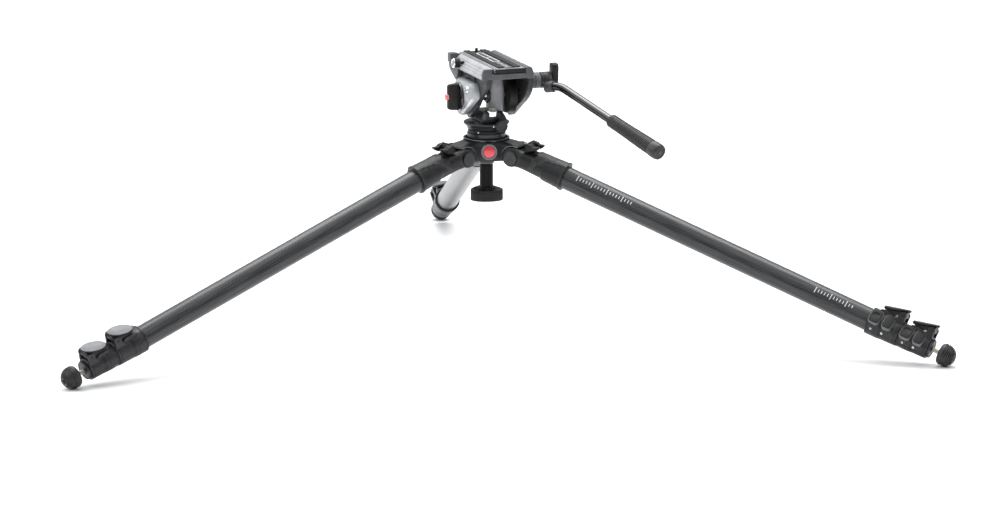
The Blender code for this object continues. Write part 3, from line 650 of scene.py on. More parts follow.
def build_lock(leg, place, part, body, lever_body, span, step_radius, bore_radius, outer):
    """A lever lock: its collar with lips and seams, clamp ears, bolts and the leaf lever."""
    name = f"{leg}_{part}"
    low, high = span
    step = low + 19.4
    turned = turned_about_x(place, -LEVER_TURN)
    front = [(0, 0.2), (0.6, 0.9), (2.2, 0.9), (2.5, 0.3), (3.1, 0.3), (3.4, 0.9), (15, 0.9), (15.3, 0.4),
            (16, 0.4), (16.3, 0.8), (19, 0.75), (23, 0.35), (26, 0)]
    back = [(4.4, 0.3), (4.1, 0.8), (3.5, 0.8), (3.2, 0.3), (0.8, 0.5), (0, 1.2)]
    collar = [(low, step_radius + 0.3)] + [(low + along, outer + up) for along, up in front]
    collar += [(high - along, outer - down) for along, down in back]
    collar += [(high, bore_radius + 0.3), (step, bore_radius + 0.3), (step, step_radius + 0.3)]
    hinge_x, hinge_z = high - 5.6, outer + 7
    ears = []
    for near, far in ((-13, -9.9), (9.9, 13)):
        ear = arc((hinge_x, hinge_z), 5.6, -20, 200, 18) + [(hinge_x - 12, outer - 6), (high, outer - 6)]
        ears.append(prism(ear, near, far, "Y"))
    bed = rounded([(low + 9, outer - 5), (low + 11, outer + 3.4), (high - 18, outer + 3),
            (high - 13, outer - 5)], 2, 4)
    ears.append(prism(bed, -10.5, 10.5, "Y"))
    bore = [(low - 1, step_radius + 0.3), (step, step_radius + 0.3), (step, bore_radius + 0.3),
            (high + 1, bore_radius + 0.3)]
    pin_room = rod(-20, 20, 2.3, 24, "Y", (hinge_x, hinge_z))
    add(f"{name}_collar", lathe(collar, 72, "X", loop=True), turned, body, CAST,
            [f"{name}_lock"], bevel=0.3, joins=ears, cuts=[lathe(bore, 72, "X"), pin_room])

    flank = turned_about_x(place, 40)
    for low_at, long_half, kind in ((low + 9.5, 8.2, "flap"), (low + 30, 7, "block")):
        pad = rounded(box_outline(low_at - long_half, -13, low_at + long_half, 9), 5.5, 6)
        rim = rounded(box_outline(low_at - long_half - 0.8, -13.8, low_at + long_half + 0.8, 9.8), 6, 6)
        hole = prism([(low_at + u, v) for u, v in oval(5, 3)], outer + 0.2, outer + 5)
        # The rim round each pad is painted light grey: a painted highlight on its edges.
        add(f"{name}_{kind}_seam", prism(rim, outer - 5.5, outer + 1), flank, body, HIGHLIGHT_EDGE,
                bevel=0.3, cuts=[prism(pad, outer - 9, outer + 9)])
        add(f"{name}_{kind}", prism(pad, outer - 5.5, outer + 2), flank, body, PLASTIC,
                bevel=0.9, cuts=[hole] if kind == "flap" else [])
    for i, (along, around) in enumerate(((low + 27, 104), (low + 9.5, 104))):
        spot_place = turned_about_x(place, around)
        top = outer + 0.9
        head = lathe([(outer - 3, 1.9), (top - 0.3, 1.9), (top, 1.6), (top, 0)], 24, centre=(along, 0))
        slot_cut = prism([(along + u, v) for u, v in oval(0.9, 0.9, 6)], top - 0.5, top + 1)
        add(f"{name}_bolt_{i}", head, spot_place, body, STEEL, cuts=[slot_cut])

    slope = tan(radians(13))
    long, wide = LEAF_HALF

    def leaf_ring(lift, grow, dip):
        ring = []
        for u, v in oval(1, 1, 48):
            x = hinge_x - LEAF_BACK + long * grow * u
            ring.append(Vector((x, wide * grow * v, hinge_z + lift - LEAF_BACK * slope
                    + long * u * dip * slope)))
        return ring
    base = [leaf_ring(lift, grow, 1) for lift, grow in ((4.4, 0.62), (5, 0.86), (6.4, 0.96), (7.6, 1),
            (8.2, 0.98))]
    top = [leaf_ring(lift, grow, grow) for lift, grow in ((8.3, 0.93), (9.4, 0.97), (10, 0.94), (9.9, 0.86),
            (9.2, 0.66), (8.8, 0.36), (8.7, 0.1))]
    knuckle = lathe([(-9.5, 4.2), (-9, 4.8), (9, 4.8), (9.5, 4.2)], 40, "Y", centre=(hinge_x, hinge_z))
    cam = prism(rounded([(hinge_x - 28, hinge_z - 2.6), (hinge_x - 12, hinge_z - 3.2),
            (hinge_x + 2, hinge_z - 3.2), (hinge_x + 4.4, hinge_z + 6.6), (hinge_x - 28, hinge_z - 0.4)],
            1), -8.8, 8.8, "Y")
    axle = lathe([(-13.4, 1.4), (-13, 2), (13, 2), (13.4, 1.4)], 24, "Y", centre=(hinge_x, hinge_z))
    add(f"{name}_lever_base", loft(base), turned, lever_body, PLASTIC,
            joins=[knuckle, cam, axle], bevel=0.3)
    add(f"{name}_lever_leaf", loft(top), turned, lever_body, LEVER, [f"{name}_lever"], bevel=0.25)


def build_foot(leg, place):
    """The end plug, its threaded stud and the ribbed rubber foot."""
    end = END_PLATE
    stud = [(660, 0), (660, 10.2), (end, 10.2), (end, 12.6), (end + 2.5, 12.6), (end + 2.5, 3.5)]
    x = end + 5
    while x < 712:
        stud += [(x, 3.5), (x + 0.35, 3.1), (x + 0.7, 3.5)]
        x += 1.05
    stud += [(714, 3.4), (722, 0)]
    add(f"{leg}_stud_thread", lathe(stud, 48, "X"), place, f"{leg}_lower", STEEL,
            [f"{leg}_foot_stud"])
    disc = [(-0.05, 12.7), (-0.05, 13.3), (0.6, 14), (3.3, 14), (3.9, 13.3), (3.9, 12.4), (3.3, 12),
            (3.5, 6.4), (4.4, 5.8), (4.4, 3.7), (2.6, 3.7), (2.6, 12.7)]
    disc = [(end + along, radius) for along, radius in disc]
    add(f"{leg}_end_disc", lathe(disc, 64, "X", loop=True), place, f"{leg}_lower", DARK_STEEL)
    ball, middle, ribs = 16.5, 710, 6
    dome = [(702, 3.8), (702, 13.2), (702.4, 14), (703.2, 14.9), (704.6, 15.5), (706.4, 16.1),
            (708.2, 16.4)]
    for i in range(ribs):
        for share, dip in ((0, 1.7), (0.2, 1.7), (0.34, 0), (0.66, 0), (0.8, 1.7)):
            angle = radians(88 - 58 * (i + share) / ribs)
            reach = ball - dip
            dome.append((middle + reach * cos(angle), reach * sin(angle)))
    for degree in (28, 24):
        a = radians(degree)
        dome.append((middle + ball * cos(a), ball * sin(a)))
    dome.append((middle + ball * cos(radians(20)) - 2, 3.8))
    add(f"{leg}_ribbed_foot", lathe(dome, 72, "X", loop=True), place, f"{leg}_foot", RUBBER,
            [f"{leg}_rubber_foot"])


for leg_name in LEGS:
    at = leg_frame(leg_name)
    build_casting(leg_name, at)
    build_catch(leg_name, at)
    build_pin(leg_name, at)
    build_tubes(leg_name, at)
    build_ticks(leg_name, at)
    build_lock(leg_name, at, "upper", leg_name, f"{leg_name}_upper_lever_body", UPPER_LOCK, 17, 14.5, 19.3)
    build_lock(leg_name, at, "lower", f"{leg_name}_middle", f"{leg_name}_lower_lever_body", LOWER_LOCK,
            14.5, 12, 17.2)
    build_foot(leg_name, at)


# ---------------------------------------------------------------- hub

def hub_reach(angle):
    """The spider's plan: three straight arms that run smoothly into the walls between them."""
    total = 38.5 ** 14
    for azimuth in LEG_AZIMUTHS:
        away = angle - radians(azimuth)
        if cos(away) > 0.05:
            arm = ((cos(away) / 58.6) ** 10 + (abs(sin(away)) / 20) ** 10) ** -0.1
            total += arm ** 14
    return total ** (1 / 14)


def build_spider():
    """The hub casting: a smooth domed web, arches over the leg pins, lugs and a bowl for the ball."""
    steps = 180
    rows = []
    levels = ((0, 276.2), (0.12, 276), (0.3, 275.3), (0.6, 273.4), (0.85, 271.3), (0.95, 270),
            (0.985, 268.6), (1, 266), (1, 258), (1, 250.5), (0.97, 248.6), (0.9, 248), (0.5, 248), (0, 248))
    for i in range(steps):
        angle = 2 * pi * i / steps
        reach = hub_reach(angle)
        row = []
        for share, height in levels:
            start = 33 if height > 260 else 20
            radius = start + (reach - start) * share
            sink = 0
            if height > 265:
                sink = max(0, 1 - (reach - 38) / 16) * (276.2 - height) * 0.25
            row.append(Vector((radius * cos(angle), radius * sin(angle), height - sink)))
        boss = [(17.5, 248.6), (12, 246.4), (12, 262), (33, 274)]
        for radius, height in boss:
            row.append(Vector((radius * cos(angle), radius * sin(angle), height)))
        rows.append(row)
    bowl = [(BALL_CENTRE + 20, 31.9), (BALL_CENTRE, 31.9)]
    bowl += [(BALL_CENTRE + 31.9 * cos(radians(a)), 31.9 * sin(radians(a))) for a in range(94, 160, 4)]
    bowl += [(230, bowl[-1][1])]
    cuts = [lathe(bowl, 72)]
    for azimuth in LEG_AZIMUTHS:
        turn = Matrix.Rotation(radians(azimuth), 4, "Z")
        arch = arc(PIVOT, 15.4, 60, 270, 28) + [(92, PIVOT[1] - 32), (92, PIVOT[1] + 13.3)]
        tool = prism(arch, -40, 40, "Y")
        bmesh.ops.transform(tool, matrix=turn, verts=tool.verts)
        cuts.append(tool)
    add("spider_web", loft(rows, closed=True), HUB, "hub", CAST, ["spider"], bevel=0.5,
            cuts=cuts)
    for azimuth in LEG_AZIMUTHS:
        place = turned_about_z(HUB, azimuth)
        lug = arc(PIVOT, 11, -90, 90, 24) + [(28, PIVOT[1] + 11), (28, PIVOT[1] - 6)]
        add(f"spider_lug_{azimuth}", prism(lug, -12, 12, "Y"), place, "hub", CAST, bevel=0.6,
                cuts=[rod(-20, 20, 6.3, 32, "Y", PIVOT)])
        # The thin beads round each arch carry the light grey painted highlight of the arch rims.
        for side in (-1, 1):
            bead = []
            for y, z in arc(PIVOT, 16.3, 62, 205, 30):
                bead.append(Vector((y, side * 19.9, z)))
            add(f"arch_bead_{azimuth}_{side + 1}", sweep(bead, 0.9, 12), place, "hub", HIGHLIGHT_EDGE)


def build_badge():
    """A plain red dome in a recess whose rim is painted light grey as a painted highlight, on the wall
    between the front legs.
    """
    centre = (0, 263.2)
    ring = [(-42, 9.2), (-42.3, 10.4), (-42.2, 11.4), (-41.6, 11.8), (-38, 11.8), (-38, 9.2)]
    add("badge_rim", lathe(ring, 64, "Y", loop=True, centre=centre), HUB, "hub", HIGHLIGHT_EDGE)
    dome = [(-36, 0), (-36, 9), (-40.6, 9), (-41.5, 8.4), (-42.1, 6.4), (-42.5, 3.2), (-42.6, 0)]
    add("badge_dome", lathe(dome, 64, "Y", centre=centre), HUB, "hub", RED)


def build_levelling():
    ring = [(276.3, 31.8), (276.3, 33.4), (276.9, 34.2), (278.4, 34.6), (279.2, 34.2), (279.5, 33.6),
            (279.4, 32.6), (278.9, 31.8)]
    add("bowl_ring_turned", lathe(ring, 96, loop=True), HUB, "hub", DARK_ALLOY, ["bowl_ring"])
    dark_line = [(276.25, 30.9), (276.25, 32.9), (275.9, 33.6), (275.6, 33.6), (275.6, 30.9)]
    add("bowl_ring_shadow_gap", lathe(dark_line, 96, loop=True), HUB, "hub", PLASTIC)
    cup = [(BALL_CENTRE - sqrt(40.3 ** 2 - r * r), r) for r in (4.4, 7, 9.4, 11.2)]
    cup += [(244.6, 12), (243.6, 12.2), (242.9, 11.9), (242.6, 11.3), (241.6, 11.3), (241.2, 11.7),
            (240.2, 11.6), (239, 10.8), (238.6, 10), (238.6, 4.4)]
    add("clamp_cup_turned", lathe(cup, 72, loop=True), HUB, "clamp", DARK_ALLOY, ["clamp_cup"])

    def lobes(along, radius, angle):
        share = min(1, max(0, (radius - 16) / 8))
        ribs = 0.8 * (0.5 + 0.5 * cos(54 * angle)) if 185 < along < 200 else 0
        return share * 2 * cos(3 * (angle + radians(30))) - ribs * share
    knob = [(184, 0), (184, 17), (184, 22), (184.4, 23), (185.2, 23.6), (199.8, 23.6), (200.6, 23),
            (201, 22), (201, 19.4), (200.6, 17), (200.6, 14), (203.2, 13.2), (204.4, 12.2), (204.9, 10.6),
            (206, 10), (236.8, 10), (237.6, 9.7), (238.3, 9), (238.3, 4.3), (202, 4.3), (202, 0)]
    add("tie_down_grip", lathe(knob, 432, wave=lobes), HUB, "tie_down", PLASTIC,
            ["tie_down_knob"])


# ---------------------------------------------------------------- head

def build_base():
    base = [(286.3, 0), (286.3, 27.2), (287, 27.6), (288.9, 27.6), (289.2, 27.1), (289.6, 27.1),
            (289.9, 27.5), (291.2, 27.3), (292, 26.4), (292, 0)]
    add("head_base_turned", lathe(base, 96), HEAD, "ball", PLASTIC, ["head_base"])
    screw = lathe([(25, 0), (25, 1.3), (28, 1.3), (28.3, 1), (28.3, 0)], 20, "X", centre=(0, 289.3))
    add("head_base_screw", screw, turned_about_z(HEAD, -135), "ball", STEEL)


def build_pan():
    """The pan housing with its cradle for the drum, the pan lock knob and the bubble level."""
    housing = [(292.3, 0), (292.3, 27.9), (292.9, 28.5), (295.4, 29.2), (296, 29.9), (298, 31.4),
            (299.4, 33.2), (300.6, 33.9), (301.8, 33.9), (302.6, 33.3), (303, 32.2), (303, 0)]
    knob_place = turned_about_z(HEAD, -75)
    boss = lathe([(24, 6.2), (33.8, 6.2), (34.5, 5.4)], 40, "X", centre=(0, 300.5))
    turn = Matrix.Rotation(radians(-75), 4, "Z")
    bmesh.ops.transform(boss, matrix=turn, verts=boss.verts)
    hole = rod(27.5, 40, 2.8, 24, "X", (0, 300.5))
    bmesh.ops.transform(hole, matrix=turn, verts=hole.verts)
    add("pan_housing_shell", lathe(housing, 96), HEAD, "pan", PAINT_DARK, ["pan_housing"],
            joins=[boss], cuts=[hole], bevel=0.4)
    sections = []
    for z, left, right, deep in ((303.3, -15.5, 25.5, 29), (307, -15, 25, 27.5), (312, -13.5, 23, 25.5),
            (315.5, -11, 21, 24), (319, -9, 19, 22.5)):
        outline = rounded(box_outline(left, -deep, right, deep), 9, 6)
        sections.append([Vector((x, y, z)) for x, y in outline])
    add("pan_cradle", loft(sections), HEAD, "pan", PAINT_DARK, bevel=0.6)
    knob = [(29, 0), (29, 2.4), (34.9, 2.4), (34.9, 8.2), (35.5, 9), (36.4, 9.3), (41.6, 9.3), (42.6, 8.9),
            (43, 8.1), (42.8, 7.3), (42.2, 6.7), (41.9, 4), (41.7, 0)]

    def knurl(along, radius, angle):
        return -0.25 * (0.5 + 0.5 * cos(48 * angle)) if radius > 9.2 and 36 < along < 42 else 0
    add("pan_lock_grip", lathe(knob, 288, "X", centre=(0, 300.5), wave=knurl), knob_place, "pan_lock",
            PAINT_DARK, ["pan_lock_knob"])
    pip = lathe([(28, 0), (28, 2), (34.5, 2), (35.4, 1.2), (35.4, 0)], 20, "X", centre=(-9.6, 300.2))
    add("pan_stop_pip", pip, knob_place, "pan", CHROME)

    shelf = rounded([(-20, 303.4), (-29, 303.4), (-36.5, 311), (-40.5, 322), (-29, 324.5), (-22, 318)], 2.5,
            4)
    add("level_shelf", prism(shelf, -14.5, 7, "X"), HEAD, "pan", PLASTIC, bevel=0.8,
            cuts=[rod(-30, 30, 34.6, 96, "X", TILT_LINE)])
    level = HEAD @ Matrix.Translation((-4, -35, 323.5)) @ Matrix.Rotation(radians(12), 4, "X")
    cup = [(-6, 0), (-6, 7.2), (1, 7.6), (1.8, 7.2), (1.9, 6.2), (1, 5.9), (0.8, 0)]
    add("level_cup", lathe(cup, 64), level, "pan", CHROME)
    vial = [(0.85, 0), (0.85, 5.8), (1.3, 5.6), (1.7, 4), (1.85, 2), (1.9, 0)]
    add("level_vial", lathe(vial, 48), level, "pan", LIQUID)


def build_drum():
    """The fluid drum's upright: a rounded satin body that carries the tilt shaft."""
    middle = 13
    sections = []
    for z, half, deep in ((304, 11, 15), (312, 10.4, 14.5), (320, 11, 14.5), (330, 12, 15),
            (342, 12.5, 15.5), (352, 12.2, 15), (361, 10.8, 14), (368, 8.8, 12.5), (372, 7, 11.5),
            (373.4, 5.4, 10)):
        section = []
        for i in range(64):
            angle = 2 * pi * i / 64
            across, along = cos(angle), sin(angle)
            square = (abs(across) ** 3 + abs(along) ** 3) ** (-1 / 3)
            section.append(Vector((middle + half * square * across, deep * square * along, z)))
        sections.append(section)
    add("drum_upright", loft(sections), HEAD, "pan", SATIN, ["tilt_drum"], bevel=0.6,
            cuts=[rod(-40, 60, 8.3, 48, "X", TILT_LINE)])
    collar = [(-1.2, 8.3), (-1.2, 11.4), (-0.2, 12.4), (3, 12.8), (3, 8.3)]
    add("drum_collar", lathe(collar, 64, "X", loop=True, centre=TILT_LINE), HEAD, "pan", PAINT_DARK)
    spring = [(26.2, 8.3), (26.2, 25), (27.5, 28), (30, 29), (36, 29), (38.6, 30), (38.6, 8.3)]
    add("spring_housing", lathe(spring, 72, "X", loop=True, centre=TILT_LINE), HEAD, "tilt", PLASTIC)
    shaft = [(-24, 0), (-24, 7.4), (-23.4, 8), (45.4, 8), (46, 7.4), (46, 0)]
    add("tilt_shaft_turned", lathe(shaft, 48, "X", centre=TILT_LINE), HEAD, "tilt", STEEL,
            ["tilt_shaft"])


RIGHT_REAR = [(-38, 333), (-60, 347.5), (-70, 358), (-74.5, 369), (-74.8, SEAT_LOW + 1)]
LEFT_REAR = [(-22, 329), (-36, 344), (-50, 354), (-66, 365), (-72, SEAT_LOW + 1)]


def side_plate(low, high, rear):
    front = [(68, SEAT_LOW + 1), (68, SEAT_LOW - 6), (56, 358), (33, 330)]
    toe = arc((11, 317.5), 10.5, -25, -120, 10)
    return prism(rounded(front, 5, 5)[2:] + toe + rounded(rear, 6, 5)[2:], low, high, "X")


def right_window(lift):
    """The recess inside the right side plate, with its lower edge raised a little."""
    floor = [(12, 314), (2, 314), (-36, 338), (-56, 352)]
    raised = [(y, z + lift) for y, z in floor]
    return rounded([(60, 371), (48, 355), (28, 331)] + raised + [(-64, 362), (-66, 372)], 5, 5)


def build_tilt_frame():
    """The seat with its sloping left flank, rear posts and lip, and the two side plates."""
    middle = PLATE_CENTRE[0]
    rail = PLATE_HALF[0] + 0.6
    section = [(-30.5, SEAT_LOW), (44, SEAT_LOW), (44, SEAT_TOP - 1), (middle + rail, SEAT_TOP - 1),
            (middle + rail, SEAT_FLOOR), (middle - rail, SEAT_FLOOR), (middle - rail, SEAT_TOP - 1),
            (-18.5, SEAT_TOP - 1)]
    window = block((-2, -40, SEAT_LOW - 5), (24, 60, SEAT_FLOOR - 1.5))
    add("seat_bed", prism(section, -72, 78, "Y"), HEAD, "tilt", PAINT_DARK, ["tilt_frame"],
            bevel=0.5, cuts=[window])
    rim = rounded([(36.4, SEAT_FLOOR + 1), (36.4, SEAT_TOP), (43.6, SEAT_TOP + 0.3), (46.6, SEAT_TOP - 6),
            (46.8, SEAT_LOW), (43, SEAT_LOW)], 1.2, 3)
    notches = []
    for y in (-30, 8, 46):
        notches.append(block((41.5, y - 4, SEAT_TOP - 1.6), (50, y + 4, SEAT_TOP + 2)))
    add("seat_right_rail", prism(rim, -73, 79, "Y"), HEAD, "tilt", PAINT_MID, bevel=0.35,
            cuts=notches)
    flank = [(-18, SEAT_TOP - 0.4), (-15.2, SEAT_TOP), (-14.2, SEAT_TOP - 4), (-14.2, SEAT_FLOOR + 0.5),
            (-27, SEAT_LOW - 0.4), (-33, SEAT_LOW - 0.4), (-32.6, SEAT_LOW + 1.2)]
    seams = []
    for share in (0.3, 0.55, 0.8):
        x = -18 - 14.6 * share
        z = SEAT_TOP - 0.4 - 13.4 * share
        seams.append(rod(-80, 80, 0.45, 12, "Y", (x, z)))
    add("seat_left_flank", prism(flank, -69.5, 66, "Y"), HEAD, "tilt", PAINT_LIGHT, bevel=0.6,
            cuts=seams)
    for name, outline in (("left", [(-32.5, 376.5), (-18.3, 378), (-18.3, 393.2), (-29.8, 393.2),
            (-33, 385)]), ("right", [(35, 377), (47, 375.5), (47, 386), (43.6, 393.6), (35, 393.6)])):
        add(f"seat_post_{name}", prism(rounded(outline, 1.6, 4), -75, -69.9, "Y"), HEAD, "tilt", PAINT_MID,
                bevel=0.5)
    lip = rounded([(-75, 378.4), (-75, 383.6), (-73, 385.2), (-66, 385.4), (-66, 376.8), (-73.6, 376.8)], 1,
            3)
    add("seat_rear_lip", prism(lip, -19, 36, "X"), HEAD, "tilt", PAINT_MID, bevel=0.3)
    ear = rounded([(-33, 380), (-16.6, 384), (-16.6, 392.6), (-22.5, 394.4), (-33, 394.4)], 1.8, 4)
    add("seat_front_ear", prism(ear, 66.5, 79.5, "Y"), HEAD, "tilt", PAINT_MID, bevel=0.6)
    strut = rounded([(36, 380), (79, 380), (76, 371), (50, 358), (44, 358), (38, 369)], 4, 5)
    add("seat_front_strut", prism(strut, -31.5, -24.2, "X"), HEAD, "tilt", PAINT_MID,
            bevel=0.8)
    add("side_plate_left", side_plate(-24, -17, LEFT_REAR), HEAD, "tilt", PAINT_DARK,
            bevel=0.9, cuts=[rod(-30, 60, 8.3, 48, "X", TILT_LINE)])
    recess = prism(right_window(0), 38, 40.6, "X")
    add("side_plate_right", side_plate(39, 47, RIGHT_REAR), HEAD, "tilt", PAINT_DARK,
            bevel=0.9, cuts=[rod(-30, 60, 8.3, 48, "X", TILT_LINE), recess])
    # A black sheet in the recess, darker than the plate round it: painted shade inside the hollow.
    shade_sheet = prism(right_window(0.5), 39.4, 40.4, "X")
    add("side_plate_shade_sheet", shade_sheet, HEAD, "tilt", PLASTIC,
            cuts=[rod(30, 60, 8.4, 48, "X", TILT_LINE)])
    for y, z in ((-48, 366), (-38, 350), (30, 358)):
        head = lathe([(38.2, 0), (38.2, 1.4), (38.6, 2), (41, 2), (41, 0)], 24, "X", centre=(y, z))
        add(f"side_plate_screw_{abs(y)}_{z}", head, HEAD, "tilt", DARK_STEEL)
    teeth = [(46, 0), (46, 11), (60, 11.2), (60.4, 11.9), (67.6, 11.9), (68.6, 11.4), (69, 10.6), (69, 0)]

    def serrate(along, radius, angle):
        return -0.5 * (0.5 + 0.5 * cos(60 * angle)) if along > 68.2 and radius > 10 else 0
    add("rosette_boss", lathe(teeth, 240, "X", centre=ROSETTE, wave=serrate), HEAD, "tilt", PAINT_MID,
            cuts=[rod(60, 75, 3.2, 24, "X", ROSETTE)])


def cover_outline(steps=26):
    top = arc((0, 0), 36, -62, 41, steps)
    corner = arc((-26, 9), 14, 95, 215, 12)
    return top + corner


def build_cover():
    """The domed tilt cover with a bright strip below, a ring boss, and the tilt lock on it."""
    sections = []
    for x, grow in ((-24.3, 0.985), (-25.4, 1), (-31, 1), (-33.5, 0.985), (-37, 0.93), (-39.8, 0.84),
            (-41.2, 0.75), (-41.8, 0.66)):
        sections.append([Vector((x, y * grow, TILT_HEIGHT + z * grow)) for y, z in cover_outline()])
    add("tilt_cover_dome", loft(sections), HEAD, "tilt", SATIN, ["tilt_cover"],
            cuts=[rod(-45, -37, 4.4, 32, "X", TILT_LINE)], bevel=0.3)
    first, last = Vector((-34.5, -38.5, 343.6)), Vector((-34.5, 6, 316.5))
    run = [first + (last - first) * (i / 8) for i in range(9)]
    add("tilt_cover_strip", sweep(run, 3.2, 16, 0.7), HEAD, "tilt", PAINT_PALE)
    ring = [(-33, 3.2), (-41.4, 3.4), (-42.2, 3.9), (-42.2, 4.7), (-41.4, 5.3), (-33, 5.5)]
    add("tilt_cover_ring", lathe(ring, 48, "X", loop=True, centre=(-26.5, 355.5)), HEAD, "tilt", CHROME)
    plug = [(-33, 0), (-33, 3.3), (-41, 3.3), (-40.8, 0)]
    add("tilt_cover_plug", lathe(plug, 32, "X", centre=(-26.5, 355.5)), HEAD, "tilt", PLASTIC)
    for i, (radius, height) in enumerate(((30, 7.5), (26, 12))):
        hood = arc((0, TILT_HEIGHT), radius + 10, 62, 128, 18)
        bead = [Vector((-27 + 2 * i, y, z - height + 5)) for y, z in hood]
        add(f"tilt_cover_hood_{i}", sweep(bead, 2, 12, 1.3), HEAD, "tilt", PAINT_DARK)

    knob = [(-37.4, 0), (-37.4, 4), (-42.3, 4), (-42.3, 19.6), (-42.8, 20.7), (-43.6, 21), (-44.6, 21),
            (-45.4, 20.4), (-45.6, 19.4), (-45, 18.4), (-44.6, 17.6), (-44.6, 0)]
    add("tilt_lock_disc", lathe(knob, 96, "X", centre=TILT_LINE), HEAD, "tilt_lock", GLOSS,
            ["tilt_lock_knob"])
    sections = []
    for x, half_long, half_wide in ((-44.7, 20.4, 5.6), (-47, 20.2, 5.2), (-56, 19.6, 4.8),
            (-59.6, 18.6, 4.2), (-61, 16.6, 3)):
        outline = rounded(box_outline(-half_wide, -half_long, half_wide, half_long), 4, 6)
        sections.append([Vector((x, y, TILT_HEIGHT + z)) for y, z in outline])
    add("tilt_lock_bar", loft(sections), HEAD, "tilt_lock", PLASTIC, bevel=0.5)
    cap = [(-60, 0), (-60, 5), (-62.8, 5), (-64, 4.4), (-64.8, 2.6), (-65, 0)]
    add("tilt_lock_cap", lathe(cap, 48, "X", centre=TILT_LINE), HEAD, "tilt_lock", PALE_RED)


def build_plate_controls():
    centre = (31, 386.5)
    body = [(-24, 0), (-24, 2.4), (-31.4, 2.4), (-31.4, 6.6), (-32, 7.2), (-39.6, 7.2), (-40.4, 6.6),
            (-40.4, 0)]

    def knurl(along, radius, angle):
        return -0.3 * (0.5 + 0.5 * cos(28 * angle)) if radius > 7.1 else 0
    add("plate_lock_grip", lathe(body, 224, "X", centre=centre, wave=knurl), HEAD, "plate_lock", PLASTIC,
            ["plate_lock_knob"])
    ring = [(-40.3, 3.6), (-41.4, 3.8), (-42, 4.6), (-42, 6), (-41.5, 6.9), (-40.3, 7.1)]
    add("plate_lock_ring", lathe(ring, 64, "X", loop=True, centre=centre), HEAD, "plate_lock", CHROME)
    button = [(-24.4, 0), (-24.4, 3.2), (-33.2, 3.2), (-34.4, 2.6), (-35, 1.6), (-35, 0)]
    add("plate_release_cap", lathe(button, 40, "X", centre=(52, 386)), HEAD, "plate_release", WHITE,
            ["plate_release_button"])


def build_plate():
    """The sliding plate: an alloy slab with a slot whose trim is painted pale as a painted reflection,
    ribbed strips and a black rear cap.
    """
    x, y = PLATE_CENTRE
    half, reach = PLATE_HALF
    low, top = SEAT_FLOOR + 0.3, SEAT_TOP
    profile = [(x - half + 0.6, low), (x + half - 0.6, low), (x + half, low + 2), (x + half, top - 2.4),
            (x + half - 0.9, top - 1.9), (x + half - 0.9, top), (x - half + 0.9, top),
            (x - half + 0.9, top - 1.9), (x - half, top - 2.4), (x - half, low + 2)]
    slot_cut = prism(rounded(box_outline(x - 3.5, -15, x + 3.5, 62), 3.3, 6), low - 2, top + 2)
    room = prism(rounded(box_outline(x - 8, -19, x + 8, 66), 4, 4), low - 2, low + 3.4)
    pin_room = rod(low + 1.2, top + 2, 2.6, 32, centre=(x, 74))
    add("plate_slab", prism(profile, y - reach, y + reach, "Y"), HEAD, "plate", PAINT_LIGHT,
            ["sliding_plate"], bevel=0.45, cuts=[slot_cut, room, pin_room])
    frame_outer = rounded(box_outline(x - 5.4, -17, x + 5.4, 64), 4.6, 8)
    frame_inner = rounded(box_outline(x - 3.6, -15.1, x + 3.6, 62.1), 3.3, 8)
    # The slot's trim is bright metal; its pale grey paint is a painted reflection.
    add("plate_slot_trim", prism(frame_outer, top - 0.6, top + 0.45), HEAD, "plate", PAINT_PALE,
            cuts=[prism(frame_inner, top - 2, top + 2)], bevel=0.15)
    inlay = rounded(box_outline(x - 7.7, y - reach + 1, x + 7.7, y + reach - 1), 1, 3)
    add("plate_inlay", prism(inlay, top - 0.4, top + 0.15), HEAD, "plate", PLASTIC,
            cuts=[prism(frame_inner, top - 2, top + 2), rod(top - 3, top + 2, 2.6, 32, centre=(x, 74))])
    strips = []
    for side in (-1, 1):
        near, far = sorted((x + side * 8, x + side * 17.5))
        count = 4
        width = (far - near) / count
        outline = [(near, top + 0.02)]
        for i in range(count):
            start = near + width * i
            outline += [(start + 0.25, top + 0.9), (start + 0.5, top + 2), (start + width - 0.5, top + 2),
                    (start + width - 0.25, top + 0.9)]
        outline += [(far, top + 0.02)]
        strips.append(prism(list(reversed(outline)), y - reach + 4, y + reach - 2, "Y"))
    add("plate_grip_strips", merged(*strips), HEAD, "plate", RUBBER, ["plate_pad"], bevel=0.12)
    for side in (-1, 1):
        edge = x + side * 21
        line = block((edge - 0.8, y - reach + 1, top - 0.3), (edge + 0.8, y + reach - 1, top + 0.12))
        add(f"plate_edge_line_{side + 1}", line, HEAD, "plate", PLASTIC, bevel=0.1)
    ticks = []
    for i in range(13):
        wide = 4.6 if i % 5 == 0 else 2.8
        at_y = -64 + 3.4 * i
        ticks.append(block((x - wide, at_y, top - 0.2), (x + wide, at_y + 1, top + 0.4)))
    add("plate_scale_marks", merged(*ticks), HEAD, "plate", MARK)
    rear = rounded(box_outline(x - 23.4, low + 0.2, x + 23.4, top - 0.9), 1.2, 4)
    add("plate_rear_cap", prism(rear, y - reach - 1.4, y - reach + 0.2, "Y"), HEAD, "plate", PLASTIC,
            bevel=0.35)
    slot_middle = (x, 23.5)
    screw = [(low + 0.2, 0), (low + 0.2, 7.3), (low + 2.8, 7.3), (low + 2.8, 3.1), (top - 0.6, 3.1),
            (top, 2.5), (top, 0)]
    add("camera_screw_turned", lathe(screw, 48, centre=slot_middle), HEAD, "screw", STEEL,
            ["camera_screw"])
    pin = [(top - 1.2, 0), (top - 1.2, 2.3), (top + 5.2, 2.3), (top + 5.8, 1.9), (top + 6, 1.2),
            (top + 6, 0)]
    add("video_pin_turned", lathe(pin, 32, centre=(x, 74)), HEAD, "pin", PLASTIC,
            ["video_pin"])


BAR_START = Vector((77, -46, 356.5))
BAR_BEND = Vector((92, -64, 360))
BAR_END = Vector((168, -272, 293))
GRIP_LENGTH = 112


